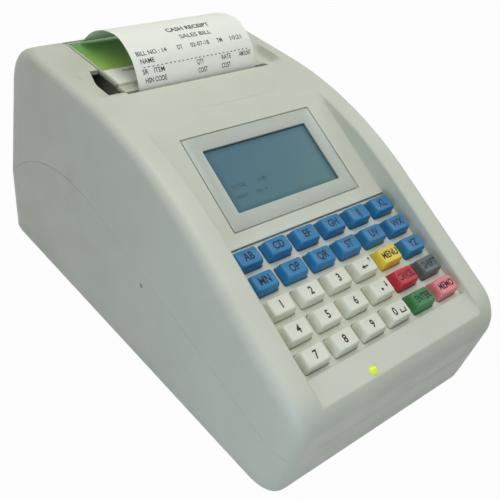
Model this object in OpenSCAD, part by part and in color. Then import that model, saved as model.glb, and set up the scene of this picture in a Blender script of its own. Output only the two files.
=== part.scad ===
// Desktop ticket register: a wedge-shaped case with a recessed deck that carries a
// keypad and a display, and a thermal printer with a paper bay under a lifting lid.
// Millimetres. X runs to the user's right, Y from the nose to the back, Z upwards.
// The origin lies under the middle of the case, on the surface that the feet stand on.

/* [Case] */
// Width of the case across its bottom edges
case_w = 148; // [146:1:160]
// Depth of the case from its nose to its back
case_d = 280; // [276:1:310]
// Thickness of the plastic walls
wall = 2.5; // [2:0.1:2.8]
// How far each side leans in over its height
side_draft = 2.2; // [0.4:0.1:3]
// Radius along the crest of each side
edge_r = 5; // [3:0.5:6]
// Radius of the upright corners, seen from above
corner_r = 10; // [7:0.5:13]
// Radius of the nose
nose_r = 20; // [17:0.5:22]
// Height of the foremost line of the nose
nose_z = 44; // [42:0.5:46]
// How far the front's bottom edge lies behind the nose
front_tuck = 8.5; // [6:0.5:11]
// Rise of the front slope, in degrees
front_slope = 29.5; // [29:0.25:30]
// Length of the straight part of the front slope
front_run = 76; // [74:0.5:80]
// Radius of the crown between the front slope and the top
crown_r = 230; // [220:2:240]
// Rise of the top towards the back, in degrees
top_slope = 3.2; // [2.6:0.1:3.8]
// Radius between the top and the back
back_r = 30; // [26:1:34]
// Lean of the back above the seam, in degrees
back_lean = 11; // [8:0.5:13]
// Lean of the back below the seam, in degrees
tuck_lean = 3; // [1:0.5:4]
// Height of the feet under the case
foot_h = 2; // [1.5:0.5:4]
// Radius of the feet
foot_r = 7; // [5:0.5:9]

/* [Seam] */
// Height of the seam at the nose
seam_front_z = 25.5; // [22:0.5:28]
// Rise of the seam along the side, in degrees
seam_slope = 15.1; // [14:0.1:16]
// Depth at which the seam starts to arch over
seam_run = 165; // [155:1:175]
// Radius of the arch
seam_r = 110; // [100:1:120]
// Height of the seam across the back
seam_back_z = 41; // [38:0.5:44]
// Gap left along the seam
seam_gap = 0.3; // [0.2:0.05:0.5]

/* [Deck] */
// Width of the recessed deck between the two side ridges
deck_w = 114; // [113.5:0.5:118]
// Depth of the line where the keypad deck meets the display deck
break_d = 82; // [81:0.25:83]
// Height of that line
break_z = 89.2; // [88.5:0.1:89.6]
// Slope of the keypad deck, in degrees
key_slope = 23.65; // [23:0.05:24.4]
// Slope of the display deck, in degrees
display_slope = 30.1; // [29.6:0.1:30.6]

/* [Keypad] */
// Spacing of the keys across the deck
key_pitch_x = 18.5; // [18:0.1:18.8]
// Spacing of the rows of keys
key_pitch_y = 13.65; // [13.4:0.05:14.2]
// Height of the keypad opening along the deck
pad_h = 69.4; // [69:0.2:73]
// Distance from the bend of the deck to the keypad opening
pad_margin = 3; // [2.5:0.5:4]
// Width of a key's top face
key_top_w = 12.5; // [11.5:0.1:13.2]
// Height of a key's top face along the deck
key_top_h = 8.3; // [7.6:0.1:8.8]
// Width of a key where it enters the frame
key_base_w = 14.4; // [14:0.1:14.8]
// Height of a key where it enters the frame
key_base_h = 10.2; // [9.8:0.1:10.4]
// How far the keys stand above the deck
key_proud = 4; // [3:0.1:5]
// Travel of a key
key_travel = 1.8; // [1:0.1:2]
// Gap between a key and its opening in the frame
key_gap = 0.3; // [0.2:0.05:0.4]
// How far the key frame lies below the deck
frame_drop = 1.5; // [1:0.1:2]
// Thickness of the key frame
frame_t = 3.5; // [3:0.1:4]

/* [Display] */
// Width of the display panel
panel_w = 86; // [82:0.5:90]
// Height of the display panel along the deck
panel_h = 54.4; // [52:0.2:56]
// Thickness of the display panel
panel_t = 1; // [0.8:0.1:1.2]
// Distance from the bend of the deck to the middle of the panel
panel_v = 31.8; // [30:0.2:34]
// Width of the clear window in the panel
window_w = 69.6; // [64:0.2:72]
// Height of the clear window
window_h = 37; // [34:0.2:40]
// Thickness of the display glass
glass_t = 2.8; // [2:0.1:3.2]
// Thickness of the circuit boards
board_t = 1.6; // [1:0.2:2]

/* [Printer] */
// Width of the paper
paper_w = 79.5; // [78:0.5:80]
// Distance from the back of the case to the lid's hinge
hinge_back = 43; // [42.5:0.25:45]
// Distance from the hinge to the front edge of the paper mouth
mouth_reach = 63.6; // [63.4:0.1:66]
// Width of the mouth and of the lid's opening
mouth_w = 95; // [94.6:0.2:98]
// Gap between the lid and the sides of its opening
lid_gap = 0.5; // [0.4:0.05:0.8]
// Thickness of the lid
lid_t = 2.5; // [2:0.1:2.7]
// Depth of the hinge axis under the top
hinge_drop = 6.5; // [6.3:0.1:6.8]
// Radius of the hinge pin
pin_r = 1.5; // [1.25:0.05:1.7]
// Radius of the platen roller
platen_r = 6; // [5:0.1:6.4]
// Radius of the platen's shaft
shaft_r = 2; // [1.5:0.1:2.4]
// Radial clearance of shafts and pins that turn
run_gap = 0.05; // [0.02:0.01:0.08]
// Radius of the paper roll
roll_r = 24; // [14:0.5:26]
// Inner radius of the paper bay
bay_r = 28; // [27:0.25:28.25]
// Tooth size of the gears: pitch diameter over the number of teeth
gear_module = 0.6; // [0.56:0.01:0.61]
// Thickness of the gears
gear_w = 1.6; // [1.2:0.1:1.8]
// Radius of the drive motor
motor_r = 10; // [8:0.25:10]
// Length of the drive motor
motor_l = 15; // [10:0.5:20]
// Height of the curl of printed paper above the lid
curl_h = 19.5; // [14:0.5:23]
// Thickness of the curl of printed paper
sheet_t = 0.3; // [0.2:0.05:0.4]

/* [Hidden] */
$fn = 48;
eps = 0.01;
// Thickness of the slices that the form of the case is drawn over
slice_t = 0.1;
// Number of keys across and down
key_cols = 6;
key_rows = 5;
KEYS = [
    "key_ab", "key_cd", "key_ef", "key_gh", "key_ij", "key_kl",
    "key_mn", "key_op", "key_qr", "key_st", "key_uv", "key_wx",
    "key_1", "key_2", "key_3", "key_back", "key_menu", "key_yz",
    "key_4", "key_5", "key_6", "key_point", "key_cancel", "key_shift",
    "key_7", "key_8", "key_9", "key_0", "key_enter", "key_memo"
];

// Colours
ivory = [0.82, 0.82, 0.76];
key_blue = [0.2, 0.5, 0.76];
key_white = [0.9, 0.9, 0.84];
board_green = [0.1, 0.35, 0.2];
steel = [0.7, 0.7, 0.72];
dark = [0.15, 0.15, 0.16];

// ---- Side outline of the case, as [depth, height] ----
// The outline runs below the case and is cut off level, so that the bottom edge stays sharp.
below = edge_r + wall;
foot_line = [nose_r - front_tuck, nose_z];
nose_low = atan2(foot_line[1], foot_line[0]) + asin(nose_r / norm(foot_line)) + 90;
nose_c = [nose_r, nose_z];
slope_start = nose_c + nose_r * [-sin(front_slope), cos(front_slope)];
slope_end = slope_start + front_run * [cos(front_slope), sin(front_slope)];
crown_c = slope_end + crown_r * [sin(front_slope), -cos(front_slope)];
crown_end = crown_c + crown_r * [-sin(top_slope), cos(top_slope)];
// The back arc touches the top line and the leaning back line
top_n = [-sin(top_slope), cos(top_slope)];
back_n = [cos(back_lean), sin(back_lean)];
top_k = top_n * crown_end - back_r;
back_k = back_n * [case_d, seam_back_z] - back_r;
det = top_n[0] * back_n[1] - top_n[1] * back_n[0];
back_c = [top_k * back_n[1] - top_n[1] * back_k, top_n[0] * back_k - back_n[0] * top_k] / det;
tuck_d = case_d - seam_back_z * tan(tuck_lean);
outline = concat(
    [[front_tuck, -below], [front_tuck, 0]],
    arc(nose_c, nose_r, nose_low, 90 + front_slope, 10),
    arc(crown_c, crown_r, 90 + front_slope, 90 + top_slope, 10),
    arc(back_c, back_r, 90 + top_slope, back_lean, 10),
    [[case_d, seam_back_z], [tuck_d, 0], [tuck_d, -below]]
);
case_h = back_c[1] + back_r;
draft = side_draft / case_h;

// Depth and height of the lid's hinge line at the top surface
hinge_d = case_d - hinge_back;
hinge_z = crown_end[1] + (hinge_d - crown_end[0]) * tan(top_slope);

// ---- Keypad places ----
pad_v = -pad_margin - pad_h / 2;
frame_flange = 4;
frame_t_top = wall - frame_drop;
flange_h = 1;
key_skirt = -frame_drop - frame_t - 0.3;
pcb_h = key_skirt - 4.2;
stem_r = 1.6;
stem_end = key_skirt - flange_h - 0.5;
switch_top = stem_end - 0.3;
led_x = -22;
led_v = -83;
led_r = 2.4;

// ---- Printer places in the frame of the top: [along the top from the hinge, height over it] ----
mouth_t = -mouth_reach;
lip_t = mouth_t + 4;
lid_tail = 5.2;
lid_swing = 9;
platen_t = mouth_t + 8.4;
platen_h = -10.2;
arm_x = paper_w / 2 + 1.5;
arm_w = 2;
gear_x = arm_x + arm_w + 0.3;
platen_teeth = 24;
idler_teeth = 30;
pinion_teeth = 12;
idler_at = [platen_t, platen_h] + gear_module * (platen_teeth + idler_teeth) / 2 * [cos(247), sin(247)];
pinion_at = idler_at + gear_module * (idler_teeth + pinion_teeth) / 2 * [cos(222), sin(222)];
arbor_r = 1.5;
bay_wall = 2;
bay_t = platen_t + 26;
bay_h = -42;
roll_h = bay_h - (bay_r - roll_r) + 0.3;
head_gap = 0.4;
head_face = platen_t - platen_r - head_gap;
head_top = platen_h + 2;
head_low = platen_h - 12;
paper_t = platen_t - platen_r - head_gap / 2;
notch_w = 9;
// The ears stay clear of the inner face of the lid
ear_r = hinge_drop - lid_t - 0.4;
notch_l = 20;
notch_t = mouth_t + 18.6;
// The scoop beside the lid is a shallow part of a large rod with round ends
scoop_r = 17;
scoop_h = 10;
scoop_t = mouth_t + 25.6;

// ---- Inner places ----
post_x = case_w / 2 - 8;
post_front_d = 30;
post_back_d = hinge_d - 3;
post_front_h = 24;
post_back_h = 60;
screw_r = 1.5;
screw_head_r = 3;
screw_head_h = 2.2;
sink_h = 9;
socket_z = 22;
rocker_x = -42;
rocker_r = 7;
rocker_tilt = 8;
rocker_pin_r = 1.2;
board_post = 8;

function arc(c, r, a0, a1, n) =
    [for (i = [0:n]) let (a = a0 + (a1 - a0) * i / n) c + r * [cos(a), sin(a)]];

// Height of the outside of the case over the depth d, from the slope to the hinge
function top_z(d) =
    d < slope_end[0] ? slope_start[1] + (d - slope_start[0]) * tan(front_slope)
    : d < crown_end[0] ? crown_c[1] + sqrt(pow(crown_r, 2) - pow(d - crown_c[0], 2))
    : crown_end[1] + (d - crown_end[0]) * tan(top_slope);

// Outline of a spur gear with plain straight-sided teeth that mesh with a little play
function gear_points(teeth) =
    let (
        pitch_r = gear_module * teeth / 2,
        tip = pitch_r + 0.8 * gear_module,
        root = pitch_r - 1.1 * gear_module
    )
    [for (i = [0:teeth - 1], p = [[-0.3, root], [-0.1, tip], [0.1, tip], [0.3, root]])
        let (a = (i + p[0]) * 360 / teeth) p[1] * [cos(a), sin(a)]];

// ---- Frames and shared shapes ----
module place() {
    translate([0, -case_d / 2, foot_h]) children();
}

// Draws a flat outline of [depth, height] as a slab across the case
module across(x0, x1) {
    translate([x0, 0, 0]) rotate([90, 0, 90]) linear_extrude(x1 - x0) children();
}

// Cylinder along X at a place in the side view
module rod(r, x0, x1, at = [0, 0]) {
    translate([x0, at[0], at[1]]) rotate([0, 90, 0]) cylinder(r = r, h = x1 - x0);
}

module on_keys() {
    translate([0, break_d, break_z]) rotate([key_slope, 0, 0]) children();
}

module on_display() {
    translate([0, break_d, break_z]) rotate([display_slope, 0, 0]) translate([0, panel_v, 0]) children();
}

module on_top() {
    translate([0, hinge_d, hinge_z]) rotate([top_slope, 0, 0]) children();
}

module key_place(i) {
    x = (i % key_cols - (key_cols - 1) / 2) * key_pitch_x;
    y = ((key_rows - 1) / 2 - floor(i / key_cols)) * key_pitch_y;
    translate([x, pad_v + y, 0]) children();
}

module slab(w, h, t, r = 0) {
    if (r > 0) {
        for (a = [0, 1]) cube_mid(w - 2 * r * a, h - 2 * r * (1 - a), t);
        for (sx = [-1, 1], sy = [-1, 1])
            translate([sx * (w / 2 - r), sy * (h / 2 - r), 0]) cylinder(r = r, h = t);
    } else cube_mid(w, h, t);
}

module cube_mid(w, h, t) {
    translate([-w / 2, -h / 2, 0]) cube([w, h, t]);
}

// One thin slice of the case at the distance t inside its side face, tapering inwards
module case_slice(side, t, inset) {
    from_corner = corner_r - sqrt(pow(corner_r, 2) - pow(corner_r - t, 2));
    from_crest = t < edge_r ? edge_r - sqrt(pow(edge_r, 2) - pow(edge_r - t, 2)) : 0;
    x = case_w / 2 - inset - t;
    multmatrix([[-side, 0, -side * draft, side * x], [0, 1, 0, 0], [0, 0, 1, 0], [0, 0, 0, 1]])
        translate([0, case_d / 2, case_h / 2])
            rotate([90, 0, 90]) linear_extrude(slice_t, scale = 0.9)
                scale([1 - 2 * from_corner / case_d, 1]) translate([-case_d / 2, -case_h / 2])
                    offset(delta = -from_crest - inset) polygon(outline);
}

// The whole outer form, or the same form drawn in by inset
module case_form(inset = 0, steps = 6) {
    hull()
        for (side = [-1, 1], i = [0:steps])
            case_slice(side, corner_r * (1 - sin(90 * i / steps)), inset);
}

// Everything above the seam, raised by gap
module above_seam(gap = 0) {
    line_end = [seam_run, seam_front_z + seam_run * tan(seam_slope)];
    arch_c = line_end + seam_r * [sin(seam_slope), -cos(seam_slope)];
    arch_end = acos((seam_back_z - arch_c[1]) / seam_r) - 90;
    across(-case_w, case_w)
        translate([0, gap])
            polygon(concat(
                [[-9, seam_front_z - 9 * tan(seam_slope)]],
                arc(arch_c, seam_r, 90 + seam_slope, -arch_end, 14),
                [[case_d + 9, seam_back_z], [case_d + 9, 2 * case_h], [-9, 2 * case_h]]
            ));
}

// A point on the keypad deck: v along the deck from its bend, h over it
function key_point(v, h) =
    [break_d, break_z] + v * [cos(key_slope), sin(key_slope)] + h * [-sin(key_slope), cos(key_slope)];

// Space over the deck, between the side ridges; a deep one takes in the keypad opening
module deck_space_2d(deep = 0) {
    low = pad_v - pad_h / 2;
    high = pad_v + pad_h / 2;
    notch = deep > 0
        ? [key_point(low, 0), key_point(low, -deep), key_point(high, -deep), key_point(high, 0)]
        : [];
    polygon(concat(
        [key_point(-100, 0)],
        notch,
        [
            [break_d, break_z],
            [break_d, break_z] + 90 * [cos(display_slope), sin(display_slope)],
            [-20, 2 * case_h]
        ]
    ));
}

module deck_space() {
    across(-deck_w / 2, deck_w / 2) deck_space_2d(20);
}

// Finger scoop beside the lid
module scoop(side, grow = 0) {
    x = side * mouth_w / 2;
    for (t = [-3, 3])
        translate([x, scoop_t + t, scoop_h]) sphere(r = scoop_r + grow);
    translate([x, scoop_t - 3, scoop_h]) rotate([-90, 0, 0]) cylinder(r = scoop_r + grow, h = 6);
}

// Through opening for the lid, the paper and the fingers beside the lid
module lid_opening() {
    on_top() {
        translate([-mouth_w / 2, mouth_t, -40]) cube([mouth_w, mouth_reach, 60]);
        translate([-mouth_w / 2 - notch_w, notch_t, -40]) cube([mouth_w + 2 * notch_w, notch_l, 60]);
        rod(lid_swing, -mouth_w / 2, mouth_w / 2, [0, -hinge_drop]);
    }
}

// ---- Case ----
module lower_case() {
    color(ivory) place() difference() {
        union() {
            difference() {
                intersection() {
                    case_form();
                    translate([-case_w, -10, 0]) cube([2 * case_w, 2 * case_d, case_h]);
                }
                intersection() {
                    case_form(wall, 3);
                    translate([-case_w, -10, wall]) cube([2 * case_w, 2 * case_d, case_h]);
                }
                above_seam();
            }
            for (sx = [-1, 1]) {
                translate([sx * post_x, post_front_d, eps]) cylinder(r = 5, h = post_front_h - eps);
                translate([sx * post_x, post_back_d, eps]) cylinder(r = 5, h = post_back_h - eps);
            }
            for (sx = [-1, 1], d = [52, 128])
                translate([sx * 48, d, eps]) cylinder(r = 3, h = wall + board_post - eps);
            // Ribs that hold the battery
            for (sx = [-1, 1]) translate([sx * 37 - 1, 150, eps]) cube([2, 44, 16]);
        }
        for (sx = [-1, 1], d = [post_front_d, post_back_d]) translate([sx * post_x, d, 0]) {
            translate([0, 0, -1]) cylinder(r = screw_head_r + 0.4, h = sink_h + 1);
            cylinder(r = screw_r + 0.2, h = case_h);
        }
        foot_places() translate([0, 0, -1]) cylinder(r = foot_r + 0.1, h = 1.5);
        rear_cutouts();
        // Sound hole in the left side
        translate([-case_w / 2 + 6, 119.5, 50]) rotate([0, -90, 0]) cylinder(r = 1.4, h = 12);
    }
}

module rear_cutouts() {
    translate([0, case_d - 12, socket_z]) rotate([-90, 0, 0]) {
        cylinder(r = 4.1, h = 20);
        translate([26, 0, 0]) cube_mid(12.2, 11.2, 20);
        translate([rocker_x, 0, 0]) cube_mid(12.2, 19.2, 20);
    }
}

module foot_places() {
    for (sx = [-1, 1], d = [22, case_d - 22]) translate([sx * (case_w / 2 - 22), d, 0]) children();
}

module upper_case() {
    color(ivory) place() difference() {
        union() {
            difference() {
                intersection() {
                    case_form();
                    above_seam(seam_gap);
                }
                difference() {
                    case_form(wall, 3);
                    across(-deck_w / 2 - wall, deck_w / 2 + wall) offset(delta = wall) deck_space_2d();
                    on_top() for (side = [-1, 1]) scoop(side, wall);
                    upper_bosses();
                }
                deck_space();
                on_top() for (side = [-1, 1]) scoop(side);
                lid_opening();
                on_keys() translate([led_x, led_v, -20]) cylinder(r = led_r + 0.1, h = 40);
                on_display() {
                    translate([0, 0, -panel_t]) cube_mid(panel_w + 0.8, panel_h + 0.8, 10);
                    translate([0, 0, -10]) cube_mid(window_w + 4, window_h + 4, 20);
                }
            }
            hinge_ears();
        }
        for (sx = [-1, 1]) {
            translate([sx * post_x, post_front_d, 0]) cylinder(r = screw_r, h = post_front_h + 18);
            translate([sx * post_x, post_back_d, 0]) cylinder(r = screw_r, h = post_back_h + 18);
        }
        on_top() rod(pin_r, -50, 50, [0, -hinge_drop]);
    }
}

// Bosses that take the case screws, up to the underside of the ridges
module upper_bosses() {
    for (sx = [-1, 1], p = [[post_front_d, post_front_h], [post_back_d, post_back_h]])
        translate([sx * post_x, p[0], p[1] + seam_gap]) cylinder(r = 4, h = case_h);
}

module hinge_ears() {
    on_top() for (side = [-1, 1]) mirror([side < 0 ? 1 : 0, 0, 0]) {
        rod(ear_r, arm_x + 0.4, mouth_w / 2 + 3, [0, -hinge_drop]);
        translate([mouth_w / 2 + 0.2, -5, -hinge_drop - 5]) cube([5, 10, hinge_drop + 5 - wall + 0.4]);
    }
}

module rubber_feet() {
    color(dark) place() foot_places() translate([0, 0, -foot_h]) cylinder(r = foot_r, h = foot_h + 0.5);
}

module case_screws() {
    color(steel) place()
        for (sx = [-1, 1], p = [[post_front_d, post_front_h], [post_back_d, post_back_h]])
            translate([sx * post_x, p[0], sink_h - screw_head_h]) {
                cylinder(r = screw_head_r, h = screw_head_h);
                cylinder(r = screw_r, h = p[1] - sink_h + screw_head_h + 12);
            }
}

// ---- Display ----
module display_panel() {
    color([0.78, 0.79, 0.74]) place() on_display() difference() {
        translate([0, 0, -panel_t]) slab(panel_w, panel_h, panel_t, 1);
        translate([0, 0, -panel_t - 1]) cube_mid(window_w, window_h, panel_t + 2);
    }
}

module display_frame() {
    color(steel) place() on_display() translate([0, 0, -wall - 5.1]) difference() {
        cube_mid(window_w + 10, window_h + 10, 5);
        translate([0, 0, -1]) cube_mid(window_w + 1, window_h + 1, 7);
    }
}

module display_glass() {
    color([0.3, 0.45, 0.5]) place() on_display() translate([0, 0, -wall - glass_t + 0.9])
        cube_mid(window_w + 0.8, window_h + 0.8, glass_t);
}

module display_board() {
    color(board_green) place() on_display() translate([0, 0, -wall - 5.2 - board_t])
        slab(93, 62, board_t, 1);
}

// ---- Keypad ----
module key_frame() {
    color(ivory) place() on_keys() difference() {
        translate([0, pad_v, 0]) union() {
            translate([0, 0, -wall - 0.1]) cube_mid(deck_w - 0.6, pad_h - 0.6, frame_t_top + 0.1);
            translate([0, 0, -frame_drop - frame_t])
                cube_mid(deck_w + 2 * frame_flange, pad_h + frame_flange, frame_t - frame_t_top - 0.1);
        }
        for (i = [0:len(KEYS) - 1]) key_place(i)
            translate([0, 0, -10]) slab(key_base_w + 2 * key_gap, key_base_h + 2 * key_gap, 20, 1.2);
    }
}

// Spacers between the key board and the frame over it
module board_spacers() {
    color([0.8, 0.7, 0.4]) place() on_keys() for (sx = [-1, 1], sy = [-1, 1])
        translate([sx * (deck_w / 2 + 1.5), pad_v + sy * (pad_h / 2 - 0.6), pcb_h])
            cylinder(r = 2.2, h = -pcb_h - frame_drop - frame_t);
}

module key_board() {
    color(board_green) place() on_keys() {
        translate([0, pad_v, pcb_h - board_t])
            cube_mid(deck_w + 2 * frame_flange, pad_h + frame_flange, board_t);
        for (i = [0:len(KEYS) - 1]) key_place(i) translate([0, 0, pcb_h]) difference() {
            cube_mid(6, 6, switch_top - pcb_h);
            translate([0, 0, 0.6]) cylinder(r = stem_r + 0.3, h = 10);
        }
    }
}

function key_color(i) =
    i < 12 || i == 17 ? key_blue
    : i == 16 ? [0.93, 0.8, 0.2]
    : i == 22 ? [0.8, 0.15, 0.2]
    : i == 23 ? [0.4, 0.43, 0.44]
    : i == 28 ? [0.2, 0.5, 0.25]
    : i == 29 ? [0.93, 0.5, 0.55]
    : key_white;

module key(i) {
    foot_z = -frame_drop + 0.3;
    color(key_color(i)) place() on_keys() key_place(i) {
        difference() {
            union() {
                hull() {
                    translate([0, 0, foot_z]) slab(key_base_w, key_base_h, eps, 1.1, $fn = 16);
                    translate([0, 0, key_proud - 0.6])
                        slab(key_top_w + 0.5, key_top_h + 0.5, eps, 1.3, $fn = 16);
                    translate([0, 0, key_proud - eps])
                        slab(key_top_w - 0.6, key_top_h - 0.6, eps, 1, $fn = 16);
                }
                translate([0, 0, key_skirt - eps])
                    slab(key_base_w, key_base_h, foot_z - key_skirt + 2 * eps, 1.1);
                translate([0, 0, key_skirt - flange_h]) cube_mid(key_base_w + 2.2, key_base_h + 2, flange_h);
            }
            translate([0, 0, key_skirt - flange_h - 1])
                cube_mid(key_top_w - 1.2, key_top_h - 1, key_proud - 1.6 - key_skirt + flange_h + 1);
        }
        translate([0, 0, stem_end]) cylinder(r = stem_r, h = key_proud - 1.6 - stem_end + eps);
    }
}

module status_led() {
    color([0.75, 0.85, 0.2]) place() on_keys() translate([led_x, led_v, -6]) {
        cylinder(r = led_r, h = 6.2);
        translate([0, 0, 6.2]) intersection() {
            translate([0, 0, -3]) sphere(r = sqrt(led_r * led_r + 9));
            cylinder(r = led_r, h = 3);
        }
    }
}

// ---- Paper bay and printer ----
module paper_well() {
    inner = paper_w / 2 + 1.5;
    color(ivory) place() on_top() difference() {
        union() {
            rod(bay_r + bay_wall, -inner - bay_wall, inner + bay_wall, [bay_t, bay_h]);
            translate([-inner - bay_wall, bay_t - bay_r - bay_wall, bay_h])
                cube([2 * (inner + bay_wall), 2 * (bay_r + bay_wall), 18]);
            // Cheeks up to the flanges that hold the bay under the top of the case
            for (side = [-1, 1]) mirror([side < 0 ? 1 : 0, 0, 0]) {
                translate([inner, platen_t + 8, bay_h])
                    cube([bay_wall, bay_t - platen_t + bay_r - 16, -bay_h - 6]);
                translate([inner, -15, -6.5]) cube([20, 8, 6.5 - wall - 0.3]);
            }
        }
        rod(bay_r, -inner, inner, [bay_t, bay_h]);
        translate([-inner, bay_t - bay_r, bay_h]) cube([2 * inner, 2 * bay_r, 60]);
        // Room for the chassis plates
        for (sx = [-1, 1]) translate([sx * (inner + 2) - 3, bay_t - bay_r - 5, bay_h - 30])
            cube([6, 8, 80]);
    }
}

module printer_chassis() {
    front_t = head_face - 10;
    color(steel) place() on_top() difference() {
        union() {
            for (sx = [-1, 1]) translate([sx * (arm_x + arm_w / 2) - arm_w / 2, 0, 0]) {
                translate([0, pinion_at[0] - motor_r - 4, pinion_at[1] - motor_r - 3]) cube([
                    arm_w,
                    idler_at[0] - pinion_at[0] + motor_r + 8,
                    idler_at[1] - pinion_at[1] + motor_r + 5
                ]);
                translate([0, front_t, idler_at[1]]) cube([arm_w, 8, head_top - idler_at[1]]);
            }
            translate([-arm_x - arm_w, pinion_at[0] - motor_r - 4, pinion_at[1] - motor_r - 3])
                cube([2 * (arm_x + arm_w), bay_t - bay_r - bay_wall - pinion_at[0] + motor_r + 4.2, 2]);
            translate([-arm_x - arm_w, front_t, head_low + 0.5])
                cube([2 * (arm_x + arm_w), 2, head_top - head_low - 0.5]);
            rod(arbor_r, arm_x + arm_w - eps, gear_x + gear_w + 0.3, idler_at);
        }
        rod(3.4, arm_x - 1, arm_x + arm_w + 1, pinion_at);
        rod(bay_r + bay_wall + 0.1, -arm_x, arm_x, [bay_t, bay_h]);
    }
}

module print_head() {
    color([0.75, 0.76, 0.78]) place() on_top() {
        translate([-arm_x + 0.4, head_face - 8, head_low]) cube([2 * arm_x - 0.8, 7, head_top - head_low]);
        translate([-arm_x + 0.4, head_face - 1, head_low]) cube([2 * arm_x - 0.8, 1, head_top - head_low]);
    }
}

module drive_motor() {
    color(steel) place() on_top() difference() {
        union() {
            rod(motor_r, arm_x - motor_l, arm_x - 0.05, pinion_at);
            rod(3.2, arm_x - 0.05, arm_x + arm_w - 0.4, pinion_at);
        }
        rod(1 + run_gap, arm_x - 5, arm_x + arm_w + 1, pinion_at);
    }
}

module gear(teeth, at, bore, turn) {
    difference() {
        translate([gear_x, at[0], at[1]]) rotate([90, 0, 90]) rotate(turn)
            linear_extrude(gear_w) polygon(gear_points(teeth));
        rod(bore, gear_x - 1, gear_x + gear_w + 1, at);
    }
}

module platen_gear() {
    color(key_white) place() on_top() gear(platen_teeth, [platen_t, platen_h], shaft_r, 247);
}

module idler_gear() {
    color(key_white) place() on_top()
        gear(idler_teeth, idler_at, arbor_r + run_gap, 67 + 180 / idler_teeth);
}

module motor_pinion() {
    // The idler's teeth facing the pinion decide how it is turned
    phase = (222 - 67 - 180 / idler_teeth) * idler_teeth / 360;
    color([0.8, 0.7, 0.4]) place() on_top() {
        gear(pinion_teeth, pinion_at, 1, 42 + (0.5 + phase) * 360 / pinion_teeth);
        rod(1, arm_x - 4.5, gear_x + gear_w, pinion_at);
    }
}

module tear_bar() {
    teeth = 42;
    pitch = (paper_w + 3) / teeth;
    color(steel) place() on_top() translate([0, mouth_t + 0.9, -8]) rotate([90, 0, 0])
        linear_extrude(0.7) polygon(concat(
            [[-teeth * pitch / 2, 0]],
            [for (i = [0:teeth - 1], p = [0, 0.5]) [(i + p - teeth / 2) * pitch, 6.4 + p * 1.6]],
            [[teeth * pitch / 2, 6.4], [teeth * pitch / 2, 0]]
        ));
}

module paper_roll() {
    color([0.95, 0.95, 0.92]) place() on_top() {
        difference() {
            rod(roll_r, -paper_w / 2, paper_w / 2, [bay_t, roll_h]);
            rod(8.5, -paper_w, paper_w, [bay_t, roll_h]);
        }
        difference() {
            rod(8.5, -paper_w / 2, paper_w / 2, [bay_t, roll_h]);
            rod(6.2, -paper_w, paper_w, [bay_t, roll_h]);
        }
    }
}

// ---- Lid, which carries the platen ----
module paper_lid() {
    width = mouth_w - 2 * lid_gap;
    tail = hinge_d + lid_tail;
    color(ivory) place() difference() {
        union() {
            intersection() {
                across(-width / 2, width / 2) difference() {
                    polygon(outline);
                    offset(delta = -lid_t) polygon(outline);
                }
                on_top() translate([-case_w, lip_t, -12]) cube([2 * case_w, lid_tail - lip_t, 30]);
            }
            on_top() for (side = [-1, 1]) mirror([side < 0 ? 1 : 0, 0, 0]) {
                rod(4.2, 22, arm_x - 0.2, [0, -hinge_drop]);
                translate([22, -4.2, -hinge_drop]) cube([arm_x - 22.2, 8.4, hinge_drop - lid_t + 0.3]);
                rod(5.5, arm_x, arm_x + arm_w, [platen_t, platen_h]);
                translate([arm_x, platen_t - 5.5, platen_h]) cube([arm_w, 11, -platen_h - lid_t + 0.3]);
                translate([arm_x, platen_t, -lid_t - 3]) cube([arm_w, -platen_t - 17, 3.3]);
            }
        }
        // Lower lip along the mouth
        on_top() translate([-case_w, lip_t - 1, -0.9]) cube([2 * case_w, 8, 10]);
        on_top() for (side = [-1, 1]) mirror([side < 0 ? 1 : 0, 0, 0]) {
            rod(pin_r + run_gap, 15, 60, [0, -hinge_drop]);
            rod(3.5, arm_x - 1, arm_x + arm_w + 1, [platen_t, platen_h]);
        }
    }
}

module hinge_pin() {
    color(steel) place() on_top() rod(pin_r, -49.5, 49.5, [0, -hinge_drop]);
}

module platen_bushings() {
    color([0.8, 0.7, 0.4]) place() on_top() for (side = [-1, 1]) mirror([side < 0 ? 1 : 0, 0, 0])
        difference() {
            rod(3.5, arm_x, arm_x + arm_w, [platen_t, platen_h]);
            rod(shaft_r + run_gap, arm_x - 1, arm_x + arm_w + 1, [platen_t, platen_h]);
        }
}

module platen_roller() {
    color(dark) place() on_top() difference() {
        rod(platen_r, -paper_w / 2 - 0.6, paper_w / 2 + 0.6, [platen_t, platen_h]);
        rod(shaft_r, -paper_w, paper_w, [platen_t, platen_h]);
    }
}

module platen_shaft() {
    color(steel) place() on_top() rod(shaft_r, -arm_x - arm_w - 0.3, gear_x + gear_w, [platen_t, platen_h]);
}

// Printed paper: straight up out of the mouth, then over in a curl that lies on the lid
module receipt() {
    curl = [
        [0.01, 0.06], [0.055, 0.34], [0.15, 0.69], [0.33, 0.97], [0.5, 0.96],
        [0.66, 0.81], [0.8, 0.57], [0.92, 0.26], [1, 0.05]
    ];
    reach = -paper_t + 0.5;
    low = [0, platen_h + 2.6];
    knots = concat([low, [0, -3]], [for (p = curl) [p[0] * reach, 0.3 + p[1] * curl_h]]);
    line = smooth([for (p = knots) p + [paper_t, 0]], 3);
    color([0.96, 0.97, 0.93]) place() on_top() across(-paper_w / 2, paper_w / 2)
        polygon(concat(line, [for (i = [len(line) - 1:-1:0]) line[i] + sheet_t * sheet_normal(line, i)]));
}

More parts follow.
